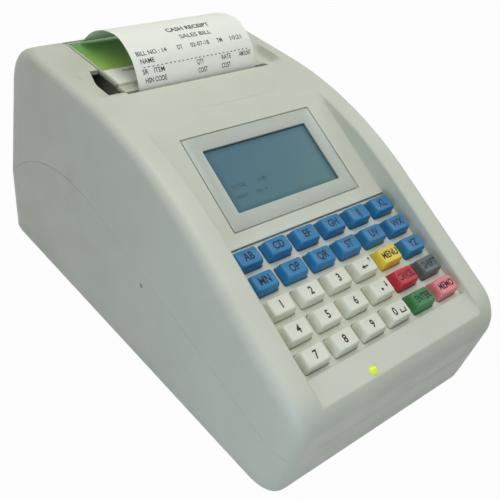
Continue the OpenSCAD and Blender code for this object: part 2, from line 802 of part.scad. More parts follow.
// Smooth line through the points p with n steps between each two
function smooth(p, n) = concat(
    [for (i = [0:len(p) - 2], k = [0:n - 1])
        let (u = k / n, a = p[max(0, i - 1)], b = p[i], c = p[i + 1], d = p[min(len(p) - 1, i + 2)])
        b + (c - a) * u / 2 + (2 * a - 5 * b + 4 * c - d) * u * u / 2
            + (3 * b - a - 3 * c + d) * pow(u, 3) / 2],
    [p[len(p) - 1]]);

function sheet_normal(line, i) =
    let (a = line[max(0, i - 1)], b = line[min(len(line) - 1, i + 1)], d = (b - a) / norm(b - a))
    [-d[1], d[0]];

// ---- Electronics ----
module main_board() {
    z = wall + board_post;
    color(board_green) place() translate([0, 90, z]) {
        cube_mid(104, 84, board_t);
        translate([10, 12, board_t]) cube_mid(20, 20, 1.6);
        translate([-22, 10, board_t]) cube_mid(12, 8, 1.4);
        translate([-30, -22, board_t]) cube_mid(18, 9, 8);
        translate([30, -26, board_t]) cylinder(r = 5, h = 12);
    }
}

module battery_pack() {
    color([0.2, 0.25, 0.5]) place() translate([0, 172, wall + 0.1]) slab(71, 42, 18, 4);
}

module rear_sockets() {
    depth = tuck_d + socket_z * tan(tuck_lean) - 0.3;
    color(dark) place() {
        // Power inlet
        translate([0, depth - 14, socket_z]) rotate([-90, 0, 0]) {
            difference() {
                union() {
                    translate([0, 0, -3]) cylinder(r = 4, h = 17);
                    translate([0, 0, -3]) cube_mid(9.5, 11, 12.5);
                }
                translate([0, 0, 3]) cylinder(r = 3.1, h = 20);
            }
            cylinder(r = 1, h = 13);
        }
        // Data socket
        translate([26, depth - 14, socket_z]) rotate([-90, 0, 0]) difference() {
            translate([0, 0, -3]) cube_mid(12, 11, 17);
            translate([0, 0, 3]) cube_mid(8.5, 7.8, 20);
        }
        // Body of the power switch
        translate([rocker_x, depth - 14, socket_z]) rotate([-90, 0, 0]) difference() {
            cube_mid(12, 19, 14);
            translate([0, 0, 3]) cube_mid(10, 17, 20);
            // Bore for the rocker's pin
            translate([-10, 0, 10]) rotate([0, 90, 0]) cylinder(r = rocker_pin_r + run_gap, h = 20);
        }
        // Carrier that ties the sockets to the floor of the case
        for (x = [0, 26]) translate([x - 5, depth - 17, wall + 0.05]) cube([10, 13, socket_z - wall - 5.4]);
        translate([rocker_x - 6, depth - 14, wall + 0.05]) cube([12, 10, socket_z - wall - 9.4]);
    }
}

module power_rocker() {
    depth = tuck_d + socket_z * tan(tuck_lean) - 0.3;
    color(dark) place() translate([rocker_x, depth - 4, socket_z]) rotate([rocker_tilt, 0, 0]) {
        across(-4.6, 4.6)
            polygon([[-2.5, -6.5], [3.4, -7.6], [2.4, 0], [3.4, 7.6], [-2.5, 6.5], [-4.5, 0]]);
        rod(rocker_pin_r, -5.7, 5.7);
    }
}

lower_case();
upper_case();
rubber_feet();
case_screws();
display_panel();
display_frame();
display_glass();
display_board();
key_frame();
board_spacers();
key_board();
status_led();
paper_well();
printer_chassis();
print_head();
drive_motor();
tear_bar();
main_board();
battery_pack();
rear_sockets();
hinge_pin();
paper_lid();
platen_bushings();
receipt();
platen_roller();
platen_shaft();
platen_gear();
idler_gear();
motor_pinion();
paper_roll();
power_rocker();
for (i = [0:len(KEYS) - 1])
    key(i);
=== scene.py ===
import math

import bmesh
import bpy
from mathutils import Matrix, Vector


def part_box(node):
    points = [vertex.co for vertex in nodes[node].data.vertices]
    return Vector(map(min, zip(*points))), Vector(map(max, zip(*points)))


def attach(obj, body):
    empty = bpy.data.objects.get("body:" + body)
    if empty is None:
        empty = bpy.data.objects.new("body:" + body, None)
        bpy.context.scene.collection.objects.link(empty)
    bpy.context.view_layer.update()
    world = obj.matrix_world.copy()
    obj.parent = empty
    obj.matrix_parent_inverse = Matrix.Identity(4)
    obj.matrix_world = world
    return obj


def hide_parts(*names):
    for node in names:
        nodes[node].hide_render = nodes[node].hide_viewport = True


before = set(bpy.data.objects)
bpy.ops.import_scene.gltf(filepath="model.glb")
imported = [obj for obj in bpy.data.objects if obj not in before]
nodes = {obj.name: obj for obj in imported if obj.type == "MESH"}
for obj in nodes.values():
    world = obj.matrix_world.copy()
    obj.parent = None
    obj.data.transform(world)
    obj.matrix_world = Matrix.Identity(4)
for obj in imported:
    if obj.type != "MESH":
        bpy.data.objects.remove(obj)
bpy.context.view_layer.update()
print("frame loaded,", len(nodes), "nodes")

mm = 0.001

# The case in mm: d runs back from the nose, z up from its bottom, x to the right
caseForm = {
    "halfWidth": 74, "halfDepth": 140, "footHeight": 2, "wall": 2.5,
    "sideDraft": 2.2 / 131.651, "cornerRadius": 10, "crestRadius": 5,
    "noseCentre": (20, 44), "noseRadius": 20, "noseLow": 191.442,
    "slopeStart": (10.151, 61.407), "slopeAngle": 29.5, "slopeRun": 76,
    "crownCentre": (189.556, -101.35), "crownRadius": 230,
    "topAngle": 3.2, "backCentre": (237.649, 101.651), "backRadius": 30, "backLean": 11,
    "frontTuck": 8.5, "backTuck": 277.851, "tuckLean": 3,
    "seamFront": 25.5, "seamSlope": 15.1, "seamRun": 165, "seamRadius": 110, "seamBack": 41, "seamGap": 0.14,
}
deckForm = {
    "breakD": 82, "breakZ": 89.2, "keySlope": 23.65, "displaySlope": 30.1,
    "keypadLow": -72.4, "keypadHigh": -3, "panelV": 31.8,
    "panelHalf": (43.4, 27.6), "windowHalf": (36.8, 20.5),
}
lidForm = {"hingeD": 237, "hingeZ": 131.661, "mouth": -63.6, "tail": 6.2, "halfWidth": 47.5}


def placeAt(d, z, angle):
    return (Matrix.Translation(Vector((0, d - caseForm["halfDepth"], z + caseForm["footHeight"])) * mm)
            @ Matrix.Rotation(math.radians(angle), 4, "X") @ Matrix.Scale(mm, 4))


onCase = placeAt(0, 0, 0)
onKeys = placeAt(deckForm["breakD"], deckForm["breakZ"], deckForm["keySlope"])
onDisplay = placeAt(deckForm["breakD"], deckForm["breakZ"], deckForm["displaySlope"]) @ Matrix.Translation((0, deckForm["panelV"], 0))
onTop = placeAt(lidForm["hingeD"], lidForm["hingeZ"], caseForm["topAngle"])


def turn(angle, radius=1.0, centre=(0, 0)):
    return (centre[0] + radius * math.cos(math.radians(angle)), centre[1] + radius * math.sin(math.radians(angle)))


def ease(value, low, high):
    part = min(1.0, max(0.0, (value - low) / (high - low)))
    return part * part * (3 - 2 * part)


def tint(red, green, blue):
    return tuple(((c / 255 + 0.055) / 1.055) ** 2.4 if c > 10 else c / 255 / 12.92 for c in (red, green, blue)) + (1.0,)


# Shader groups that several finishes share

def newGroup(name, inputs, outputs):
    group = bpy.data.node_groups.new(name, "ShaderNodeTree")
    for label, kind, value in inputs:
        socket = group.interface.new_socket(name=label, in_out="INPUT", socket_type="NodeSocket" + kind)
        if value is not None:
            socket.default_value = value
    for label, kind in outputs:
        group.interface.new_socket(name=label, in_out="OUTPUT", socket_type="NodeSocket" + kind)
    source, sink = group.nodes.new("NodeGroupInput"), group.nodes.new("NodeGroupOutput")
    source.location, sink.location = (-900, 0), (600, 0)
    return group, source.outputs, sink.inputs


def addNode(tree, kind, spot, links=None, **values):
    node = tree.nodes.new("ShaderNode" + kind)
    node.location = spot
    for label, value in values.items():
        setattr(node, label, value)
    for label, value in (links or {}).items():
        if isinstance(value, bpy.types.NodeSocket):
            tree.links.new(value, node.inputs[label])
        else:
            node.inputs[label].default_value = value
    return node


def mathNode(tree, spot, operation, first, second=0.0):
    return addNode(tree, "Math", spot, {0: first, 1: second}, operation=operation).outputs[0]


def mixColour(tree, spot, factor, first, second, blend="MIX"):
    node = addNode(tree, "Mix", spot, {0: factor, 6: first, 7: second}, data_type="RGBA", blend_type=blend)
    return node.outputs[2]


def rangeNode(tree, spot, value, low, high, toLow=0.0, toHigh=1.0):
    links = {"Value": value, "From Min": low, "From Max": high, "To Min": toLow, "To Max": toHigh}
    return addNode(tree, "MapRange", spot, links).outputs["Result"]


def noiseNode(tree, spot, vector, scale, detail=2.0, rough=0.5):
    return addNode(tree, "TexNoise", spot, {"Vector": vector, "Scale": scale, "Detail": detail, "Roughness": rough}).outputs[0]


def makeGroups():
    groups = {}
    # Fine spark texture of a moulding tool, with slow changes of tone and gloss
    group, source, sink = newGroup("mouldedGrain", [("Vector", "Vector", None), ("Scale", "Float", 2400.0)],
                                   [("Height", "Float"), ("Tone", "Float"), ("Gloss", "Float")])
    fine = noiseNode(group, (-600, 200), source["Vector"], source["Scale"], 2.0, 0.6)
    pits = addNode(group, "TexVoronoi", (-600, 0), {"Vector": source["Vector"], "Scale": source["Scale"]}).outputs["Distance"]
    group.links.new(mathNode(group, (-300, 200), "ADD", fine, mathNode(group, (-450, 0), "MULTIPLY", pits, 0.5)), sink["Height"])
    slow = noiseNode(group, (-600, -200), source["Vector"], 16.0, 3.0)
    group.links.new(rangeNode(group, (-300, -200), slow, 0.3, 0.7), sink["Tone"])
    patches = noiseNode(group, (-600, -400), source["Vector"], 90.0, 4.0)
    group.links.new(rangeNode(group, (-300, -400), patches, 0.35, 0.7), sink["Gloss"])
    groups["mouldedGrain"] = group

    # Faint smudges and dust where hands and years have been
    group, source, sink = newGroup("handWear", [("Vector", "Vector", None), ("Amount", "Float", 0.2)], [("Mask", "Float")])
    cloud = rangeNode(group, (-300, 200), noiseNode(group, (-600, 200), source["Vector"], 34.0, 5.0, 0.62), 0.52, 0.8)
    specks = rangeNode(group, (-300, -100), noiseNode(group, (-600, -100), source["Vector"], 700.0, 1.0), 0.69, 0.76)
    both = mathNode(group, (0, 100), "MAXIMUM", cloud, specks)
    group.links.new(mathNode(group, (200, 0), "MULTIPLY", both, source["Amount"]), sink["Mask"])
    groups["handWear"] = group

    # Lines left by brushing or rolling, along X
    group, source, sink = newGroup("brushedLines", [("Vector", "Vector", None), ("Scale", "Float", 900.0), ("Stretch", "Vector", (0.02, 1, 1))],
                                   [("Height", "Float"), ("Tone", "Float")])
    drawn = addNode(group, "VectorMath", (-700, 0), {0: source["Vector"], 1: source["Stretch"]}, operation="MULTIPLY").outputs[0]
    lines = noiseNode(group, (-500, 0), drawn, source["Scale"], 3.0, 0.6)
    group.links.new(lines, sink["Height"])
    group.links.new(rangeNode(group, (-200, -200), lines, 0.3, 0.7), sink["Tone"])
    groups["brushedLines"] = group

    # Short fibres of paper
    group, source, sink = newGroup("paperFibres", [("Vector", "Vector", None), ("Scale", "Float", 1500.0)], [("Height", "Float"), ("Tone", "Float")])
    drawn = addNode(group, "VectorMath", (-700, 0), {0: source["Vector"], 1: (0.35, 1.0, 1.0)}, operation="MULTIPLY").outputs[0]
    fibres = noiseNode(group, (-500, 0), drawn, source["Scale"], 4.0, 0.7)
    group.links.new(fibres, sink["Height"])
    group.links.new(rangeNode(group, (-200, -200), fibres, 0.35, 0.65), sink["Tone"])
    groups["paperFibres"] = group

    # Copper tracks under the green mask of a board
    group, source, sink = newGroup("boardTracks", [("Vector", "Vector", None)], [("Mask", "Float"), ("Height", "Float")])
    wave = addNode(group, "TexWave", (-500, 100), {"Vector": source["Vector"], "Scale": 160.0, "Distortion": 3.0, "Detail": 0.0},
                   bands_direction="DIAGONAL").outputs[1]
    patch = rangeNode(group, (-300, -200), noiseNode(group, (-500, -200), source["Vector"], 55.0, 0.0), 0.5, 0.52)
    tracks = mathNode(group, (0, 0), "MULTIPLY", rangeNode(group, (-300, 100), wave, 0.72, 0.8), patch)
    group.links.new(tracks, sink["Mask"])
    group.links.new(tracks, sink["Height"])
    groups["boardTracks"] = group
    return groups


shaderGroups = makeGroups()


def useGroup(tree, name, spot, links):
    node = addNode(tree, "Group", spot, node_tree=shaderGroups[name])
    for label, value in links.items():
        if isinstance(value, bpy.types.NodeSocket):
            tree.links.new(value, node.inputs[label])
        else:
            node.inputs[label].default_value = value
    return node.outputs


def startFinish(name, centre=(0, 0, 0.07)):
    finish = bpy.data.materials.new(name)
    finish.use_nodes = True
    tree = finish.node_tree
    shader = tree.nodes["Principled BSDF"]
    spots = addNode(tree, "TexCoord", (-1300, 0))
    centred = addNode(tree, "Mapping", (-1100, 0), {"Vector": spots.outputs["Object"], "Location": tuple(-c for c in centre)})
    return finish, tree, shader, centred.outputs["Vector"]


def addBump(tree, shader, height, strength, distance):
    bump = addNode(tree, "Bump", (-250, -400), {"Height": height, "Strength": strength, "Distance": distance})
    tree.links.new(bump.outputs["Normal"], shader.inputs["Normal"])
    return bump


def plasticFinish(name, colour, shade, dirt=(0.25, 0.24, 0.2, 1), roughness=0.45, smudge=0.15, scale=2400.0, depth=0.35, coat=0.0):
    finish, tree, shader, place = startFinish(name)
    grain = useGroup(tree, "mouldedGrain", (-850, 150), {"Vector": place, "Scale": scale})
    wear = useGroup(tree, "handWear", (-850, -250), {"Vector": place, "Amount": smudge})
    toned = mixColour(tree, (-550, 200), grain["Tone"], colour, shade)
    tree.links.new(mixColour(tree, (-300, 200), wear["Mask"], toned, dirt), shader.inputs["Base Color"])
    gloss = rangeNode(tree, (-550, -50), grain["Gloss"], 0.0, 1.0, roughness - 0.05, roughness + 0.06)
    tree.links.new(mathNode(tree, (-300, -50), "ADD", gloss, wear["Mask"]), shader.inputs["Roughness"])
    shader.inputs["Coat Weight"].default_value = coat
    addBump(tree, shader, grain["Height"], depth, 0.00006)
    return finish


def metalFinish(name, colour, shade, roughness=0.32, scale=900.0, stretch=(0.02, 1, 1), depth=0.25):
    finish, tree, shader, place = startFinish(name)
    lines = useGroup(tree, "brushedLines", (-850, 150), {"Vector": place, "Scale": scale, "Stretch": stretch})
    wear = useGroup(tree, "handWear", (-850, -250), {"Vector": place, "Amount": 0.25})
    toned = mixColour(tree, (-550, 200), lines["Tone"], colour, shade)
    tree.links.new(mixColour(tree, (-300, 200), wear["Mask"], toned, (0.2, 0.19, 0.17, 1)), shader.inputs["Base Color"])
    gloss = rangeNode(tree, (-550, -50), lines["Tone"], 0.0, 1.0, roughness - 0.08, roughness + 0.1)
    tree.links.new(gloss, shader.inputs["Roughness"])
    shader.inputs["Metallic"].default_value = 1.0
    addBump(tree, shader, lines["Height"], depth, 0.00004)
    return finish


def paperFinish(name, colour, shade, roughness=0.75, centre=(0, 0, 0.07)):
    finish, tree, shader, place = startFinish(name, centre)
    fibres = useGroup(tree, "paperFibres", (-850, 150), {"Vector": place})
    tree.links.new(mixColour(tree, (-300, 200), fibres["Tone"], colour, shade), shader.inputs["Base Color"])
    tree.links.new(rangeNode(tree, (-550, -50), fibres["Tone"], 0.0, 1.0, roughness - 0.05, roughness + 0.08), shader.inputs["Roughness"])
    addBump(tree, shader, fibres["Height"], 0.25, 0.00005)
    return finish


finishes = {
    "shell": plasticFinish("shellPlastic", tint(214, 217, 202), tint(209, 212, 196), smudge=0.05, roughness=0.45),
    "lid": plasticFinish("lidPlastic", tint(205, 206, 188), tint(199, 201, 182), smudge=0.08, roughness=0.5),
    "keyBlue": plasticFinish("keyBlue", tint(40, 128, 180), tint(34, 120, 172), smudge=0.06, scale=3200.0, depth=0.2, roughness=0.4),
    "keyWhite": plasticFinish("keyWhite", tint(229, 230, 214), tint(222, 224, 206), smudge=0.06, scale=3200.0, depth=0.2, roughness=0.4),
    "keyYellow": plasticFinish("keyYellow", tint(240, 214, 70), tint(232, 204, 58), smudge=0.06, scale=3200.0, depth=0.2, roughness=0.4),
    "keyRed": plasticFinish("keyRed", tint(206, 44, 62), tint(196, 38, 54), smudge=0.06, scale=3200.0, depth=0.2, roughness=0.4),
    "keyGrey": plasticFinish("keyGrey", tint(98, 106, 108), tint(90, 98, 100), smudge=0.06, scale=3200.0, depth=0.2, roughness=0.4),
    "keyGreen": plasticFinish("keyGreen", tint(62, 140, 84), tint(54, 130, 74), smudge=0.06, scale=3200.0, depth=0.2, roughness=0.4),
    "keyPink": plasticFinish("keyPink", tint(240, 138, 146), tint(232, 128, 136), smudge=0.06, scale=3200.0, depth=0.2, roughness=0.4),
    "panel": plasticFinish("panelFilm", tint(192, 198, 187), tint(187, 194, 182), smudge=0.05, scale=1600.0, depth=0.12, roughness=0.36, coat=0.15),
    "ink": plasticFinish("legendInk", tint(22, 22, 24), tint(30, 30, 30), smudge=0.1, scale=3000.0, depth=0.1, roughness=0.5),
    "darkPlastic": plasticFinish("darkPlastic", tint(40, 40, 43), tint(34, 34, 37), dirt=(0.2, 0.2, 0.19, 1), roughness=0.45),
    "rubber": plasticFinish("footRubber", tint(32, 32, 33), tint(26, 26, 27), dirt=(0.14, 0.13, 0.12, 1), roughness=0.75, smudge=0.35, depth=0.5),
    "gearWhite": plasticFinish("gearWhite", tint(226, 226, 214), tint(216, 216, 202), roughness=0.35),
    "steel": metalFinish("steel", (0.56, 0.56, 0.58, 1), (0.48, 0.48, 0.5, 1)),
    "sheetMetal": metalFinish("sheetMetal", (0.6, 0.61, 0.62, 1), (0.5, 0.5, 0.52, 1), roughness=0.4, scale=500.0),
    "brass": metalFinish("brass", (0.7, 0.53, 0.24, 1), (0.6, 0.44, 0.18, 1), roughness=0.3),
    "paper": paperFinish("paper", tint(252, 253, 242), tint(247, 249, 238)),
}
print("finishes made")


# Meshes

def finishPiece(name, mesh, finishList, body, replaced=(), sharp=35.0, modifiers=(), groupName=None):
    data = bpy.data.meshes.new(name)
    mesh.to_mesh(data)
    mesh.free()
    for finish in finishList:
        data.materials.append(finish)
    piece = bpy.data.objects.new(name, data)
    bpy.context.scene.collection.objects.link(piece)
    if groupName:
        piece.vertex_groups.new(name=groupName)
    for kind, values in modifiers:
        modifier = piece.modifiers.new(kind.lower(), kind)
        for label, value in values.items():
            setattr(modifier, label, value)
    if modifiers:
        # Walls and soft edges are made real, so that their own corners can be marked sharp too
        bpy.context.view_layer.update()
        solid = bpy.data.meshes.new_from_object(piece.evaluated_get(bpy.context.evaluated_depsgraph_get()))
        piece.modifiers.clear()
        piece.vertex_groups.clear()
        piece.data = solid
        bpy.data.meshes.remove(data)
        solid.name = name
        data = solid
    data.shade_smooth()
    data.set_sharp_from_angle(angle=math.radians(sharp))
    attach(piece, body)
    if replaced:
        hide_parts(*replaced)
    return piece


def softEdges(width, angle=40, segments=2):
    return ("BEVEL", {"width": width * mm, "segments": segments, "limit_method": "ANGLE", "angle_limit": math.radians(angle),
                      "harden_normals": False, "use_clamp_overlap": True})


def bevelEdges(mesh, edges, width, segments=2):
    return bmesh.ops.bevel(mesh, geom=list(edges), offset=width, offset_type="OFFSET", affect="EDGES", segments=segments,
                           profile=0.5, material=-1, clamp_overlap=True)


def roundedPlate(mesh, halfX, halfY, radius, z=0.0, centre=(0, 0), segments=4):
    made = bmesh.ops.create_grid(mesh, x_segments=1, y_segments=1, size=1.0)["verts"]
    for vert in made:
        vert.co = Vector((centre[0] + vert.co.x * halfX, centre[1] + vert.co.y * halfY, z))
    if radius <= 0:
        return [f for f in mesh.faces if all(v in made for v in f.verts)]
    new = bmesh.ops.bevel(mesh, geom=made, offset=radius, offset_type="OFFSET", affect="VERTICES", segments=segments,
                          profile=0.5, material=-1)
    verts = set(new["verts"])
    return [f for f in mesh.faces if all(v in verts for v in f.verts) and len(f.verts) > 4]


def raiseFaces(mesh, faces, offset, scale=(1, 1), centre=(0, 0), keep=False):
    made = bmesh.ops.extrude_face_region(mesh, geom=faces)["geom"]
    for vert in (g for g in made if isinstance(g, bmesh.types.BMVert)):
        vert.co = Vector((centre[0] + (vert.co.x - centre[0]) * scale[0], centre[1] + (vert.co.y - centre[1]) * scale[1], vert.co.z)) + Vector(offset)
    if not keep:
        bmesh.ops.delete(mesh, geom=faces, context="FACES_ONLY")
    return [g for g in made if isinstance(g, bmesh.types.BMFace)]


def addBox(mesh, low, high, bevel=0.0, segments=1, at=None):
    made = bmesh.ops.create_cube(mesh, size=1.0)["verts"]
    middle, size = [(a + b) / 2 for a, b in zip(low, high)], [b - a for a, b in zip(low, high)]
    for vert in made:
        vert.co = Vector([m + c * s for m, c, s in zip(middle, vert.co, size)])
    if bevel:
        edges = {e for v in made for e in v.link_edges}
        made = bevelEdges(mesh, edges, bevel, segments)["verts"]
    if at is not None:
        bmesh.ops.transform(mesh, matrix=at, verts=list(set(made)))
    return made


def addSpun(mesh, profile, centre, axis="x", steps=32, at=None):
    # profile: (radius, place along the axis); an end with radius 0 closes in a pole
    made = [bmesh.ops.create_vert(mesh, co=(along, 0, radius) if axis == "x" else (radius, 0, along))["vert"][0] for radius, along in profile]
    edges = [mesh.edges.new((a, b)) for a, b in zip(made, made[1:])]
    turnAxis = (1, 0, 0) if axis == "x" else (0, 0, 1)
    bmesh.ops.spin(mesh, geom=made + edges, cent=(0, 0, 0), axis=turnAxis, angle=math.tau, steps=steps, use_merge=True)
    grown = set()
    todo = list(made)
    while todo:
        vert = todo.pop()
        if vert not in grown:
            grown.add(vert)
            todo.extend(e.other_vert(vert) for e in vert.link_edges)
    merged = bmesh.ops.remove_doubles(mesh, verts=list(grown), dist=1e-5)
    grown = [v for v in grown if v.is_valid]
    bmesh.ops.recalc_face_normals(mesh, faces=list({f for v in grown for f in v.link_faces}))
    bmesh.ops.translate(mesh, vec=centre, verts=grown)
    if at is not None:
        bmesh.ops.transform(mesh, matrix=at, verts=grown)
    return grown


# The side outline: every station is a depth, a height and the angle of its normal

def noseStation(angle):
    return turn(angle, caseForm["noseRadius"], caseForm["noseCentre"]) + (angle,)


def slopeStation(d):
    z = caseForm["slopeStart"][1] + (d - caseForm["slopeStart"][0]) * math.tan(math.radians(caseForm["slopeAngle"]))
    return d, z, 90 + caseForm["slopeAngle"]


def crownStation(d):
    centre, radius = caseForm["crownCentre"], caseForm["crownRadius"]
    angle = math.degrees(math.acos((d - centre[0]) / radius))
    return turn(angle, radius, centre) + (angle,)


def topStation(d):
    return d, lidForm["hingeZ"] + (d - lidForm["hingeD"]) * math.tan(math.radians(caseForm["topAngle"])), 90 + caseForm["topAngle"]


def backStation(angle):
    return turn(angle, caseForm["backRadius"], caseForm["backCentre"]) + (angle,)


def outlineStation(d):
    if d < 86.15 - 9.85:
        return slopeStation(d)
    if d < 176.7:
        return crownStation(d)
    if d < 235.97:
        return topStation(d)
    return backStation(math.degrees(math.acos((d - caseForm["backCentre"][0]) / caseForm["backRadius"])))


def seamHeight(d):
    slope = math.radians(caseForm["seamSlope"])
    endZ = caseForm["seamFront"] + caseForm["seamRun"] * math.tan(slope)
    if d < caseForm["seamRun"]:
        return caseForm["seamFront"] + d * math.tan(slope)
    centre = (caseForm["seamRun"] + caseForm["seamRadius"] * math.sin(slope), endZ - caseForm["seamRadius"] * math.cos(slope))
    reach = caseForm["seamRadius"] ** 2 - (d - centre[0]) ** 2
    return max(caseForm["seamBack"], centre[1] + math.sqrt(reach)) if reach > 0 else caseForm["seamBack"]


def cornerAt(t):
    # How far the outline draws in and how much it shortens at the distance t inside the side face
    inset = caseForm["crestRadius"] - math.sqrt(max(0.0, caseForm["crestRadius"] ** 2 - (caseForm["crestRadius"] - t) ** 2)) if t < caseForm["crestRadius"] else 0.0
    rest = max(0.0, caseForm["cornerRadius"] - t)
    fromCorner = caseForm["cornerRadius"] - math.sqrt(caseForm["cornerRadius"] ** 2 - rest ** 2)
    return inset, 1 - fromCorner / caseForm["halfDepth"]


def squeeze(d, share):
    return caseForm["halfDepth"] + (d - caseForm["halfDepth"]) * share


def onOutline(station, t):
    d, z, angle = station[:3]
    inset, share = cornerAt(t)
    flat = turn(angle, -inset, (d, z))
    if len(station) == 3:
        return squeeze(flat[0], share), flat[1]
    # Rows between the last arc and the seam run down a straight line
    ahead = turn(angle + 90, 1.0) if station[3] == "front" else turn(angle - 90, 1.0)
    length = 0.0
    for _ in range(6):
        d = squeeze(flat[0] + ahead[0] * length, share)
        length = (flat[1] - seamHeight(d) - caseForm["seamGap"]) / -ahead[1]
    length *= station[4]
    return squeeze(flat[0] + ahead[0] * length, share), flat[1] + ahead[1] * length


def deckPlane(d):
    slope = deckForm["keySlope"] if d < deckForm["breakD"] else deckForm["displaySlope"]
    return deckForm["breakZ"] + (d - deckForm["breakD"]) * math.tan(math.radians(slope))


def softMin(first, second, reach):
    near = max(reach - abs(first - second), 0.0) / reach
    return min(first, second) - near * near * reach / 4


shellForm = {
    "noseAngles": [191.4, 185, 179, 173, 168, 163, 159, 156, 153.6, 151.6, 150, 148.6, 147.2, 145.6, 143.6, 141, 138, 134, 129.5, 124.5, 119.5],
    "slopeRows": [12.4, 14.2, 15.68, 16.0, 22, 32, 43, 54, 65],
    "crownRows": [76.3, 78.9, 79.25, 80.3, 82, 83.8, 85.634, 87.4, 91.78, 95, 101, 107, 113, 119, 124, 127.25, 131.6, 133.39, 134.6, 136, 137.2, 138.2,
                  139, 139.8, 140.6, 141.6, 143, 145, 148, 152, 156.5, 161, 165.5, 169.5, 172.2, 173.5, 174.9, 176.6],
    "topRows": [178.6, 180.3, 181.9, 183.3, 184.7, 186.2, 188, 190.2, 192.07, 194, 196.2, 198.8, 201.6, 204.4, 207.2, 209.8, 212.04, 213.4, 214.6, 215.8,
                217.2, 219.2, 222.5, 227, 231.5, 235.9],
    "backAngles": [89.5, 84.5, 79.35, 75, 69, 62, 54, 46, 38, 30, 23, 17, 11],
    "slices": [0, 0.2, 0.7, 1.5, 2.5, 3.7, 5, 6.4, 8, 10],
    "crestRadius": 1.9, "footRadius": 0.5,
    # Finger recess on each side of the lid: depth, where its outer side, back and front fade; the open slot beside the lid
    "recess": {"depth": 4.6, "side": (62.8, 58.8), "back": (-32, -40.5), "front": (-63, -51)},
    "slot": (183.3, 204.4, 52.7),
    "mouth": (173.5, 243.19),
}


def shellColumns():
    half = []  # from the middle to the right: kind, value, x on the deck, x on the top
    for x in (0, 11, 22, 30, 36.8, 41, 43.4, 45.4, 47.5):
        half.append(("deck", 0, x, x))
    for x, top in ((48.6, 48.6), (50.2, 49.7), (51.8, 50.8), (53.4, 51.8)):
        half.append(("deck", 0, x, top))
    foot = shellForm["footRadius"]
    for angle, top in ((90, 52.7), (58, 53.5), (28, 54.3), (0, 55.1)):
        half.append(("foot", angle, 55.7 + foot * math.cos(math.radians(angle)), top))
    half.append(("wall", 0, 56.8, 55.8))
    crest = shellForm["crestRadius"]
    for share, top in ((1.0, 56.6), (0.93, 57.4), (0.8, 58.2), (0.62, 59.0), (0.4, 59.7), (0.0, 60.5)):
        half.append(("crest", share, 57 + crest * (1 - share), top))
    half = half + [("slice", t, None, None) for t in reversed(shellForm["slices"])]
    half = half + [("cap", share, None, None) for share in (0.72, 0.45, 0.2, 0.0)]
    return [(-1,) + c for c in reversed(half[1:])] + [(1,) + c for c in half]


def scoopDepth(x, d):
    recess = shellForm["recess"]
    t = (d - lidForm["hingeD"]) / math.cos(math.radians(caseForm["topAngle"]))
    return recess["depth"] * ease(-abs(x), -recess["side"][0], -recess["side"][1]) * ease(-t, -recess["back"][0], -recess["back"][1]) * ease(t, recess["front"][0], recess["front"][1])


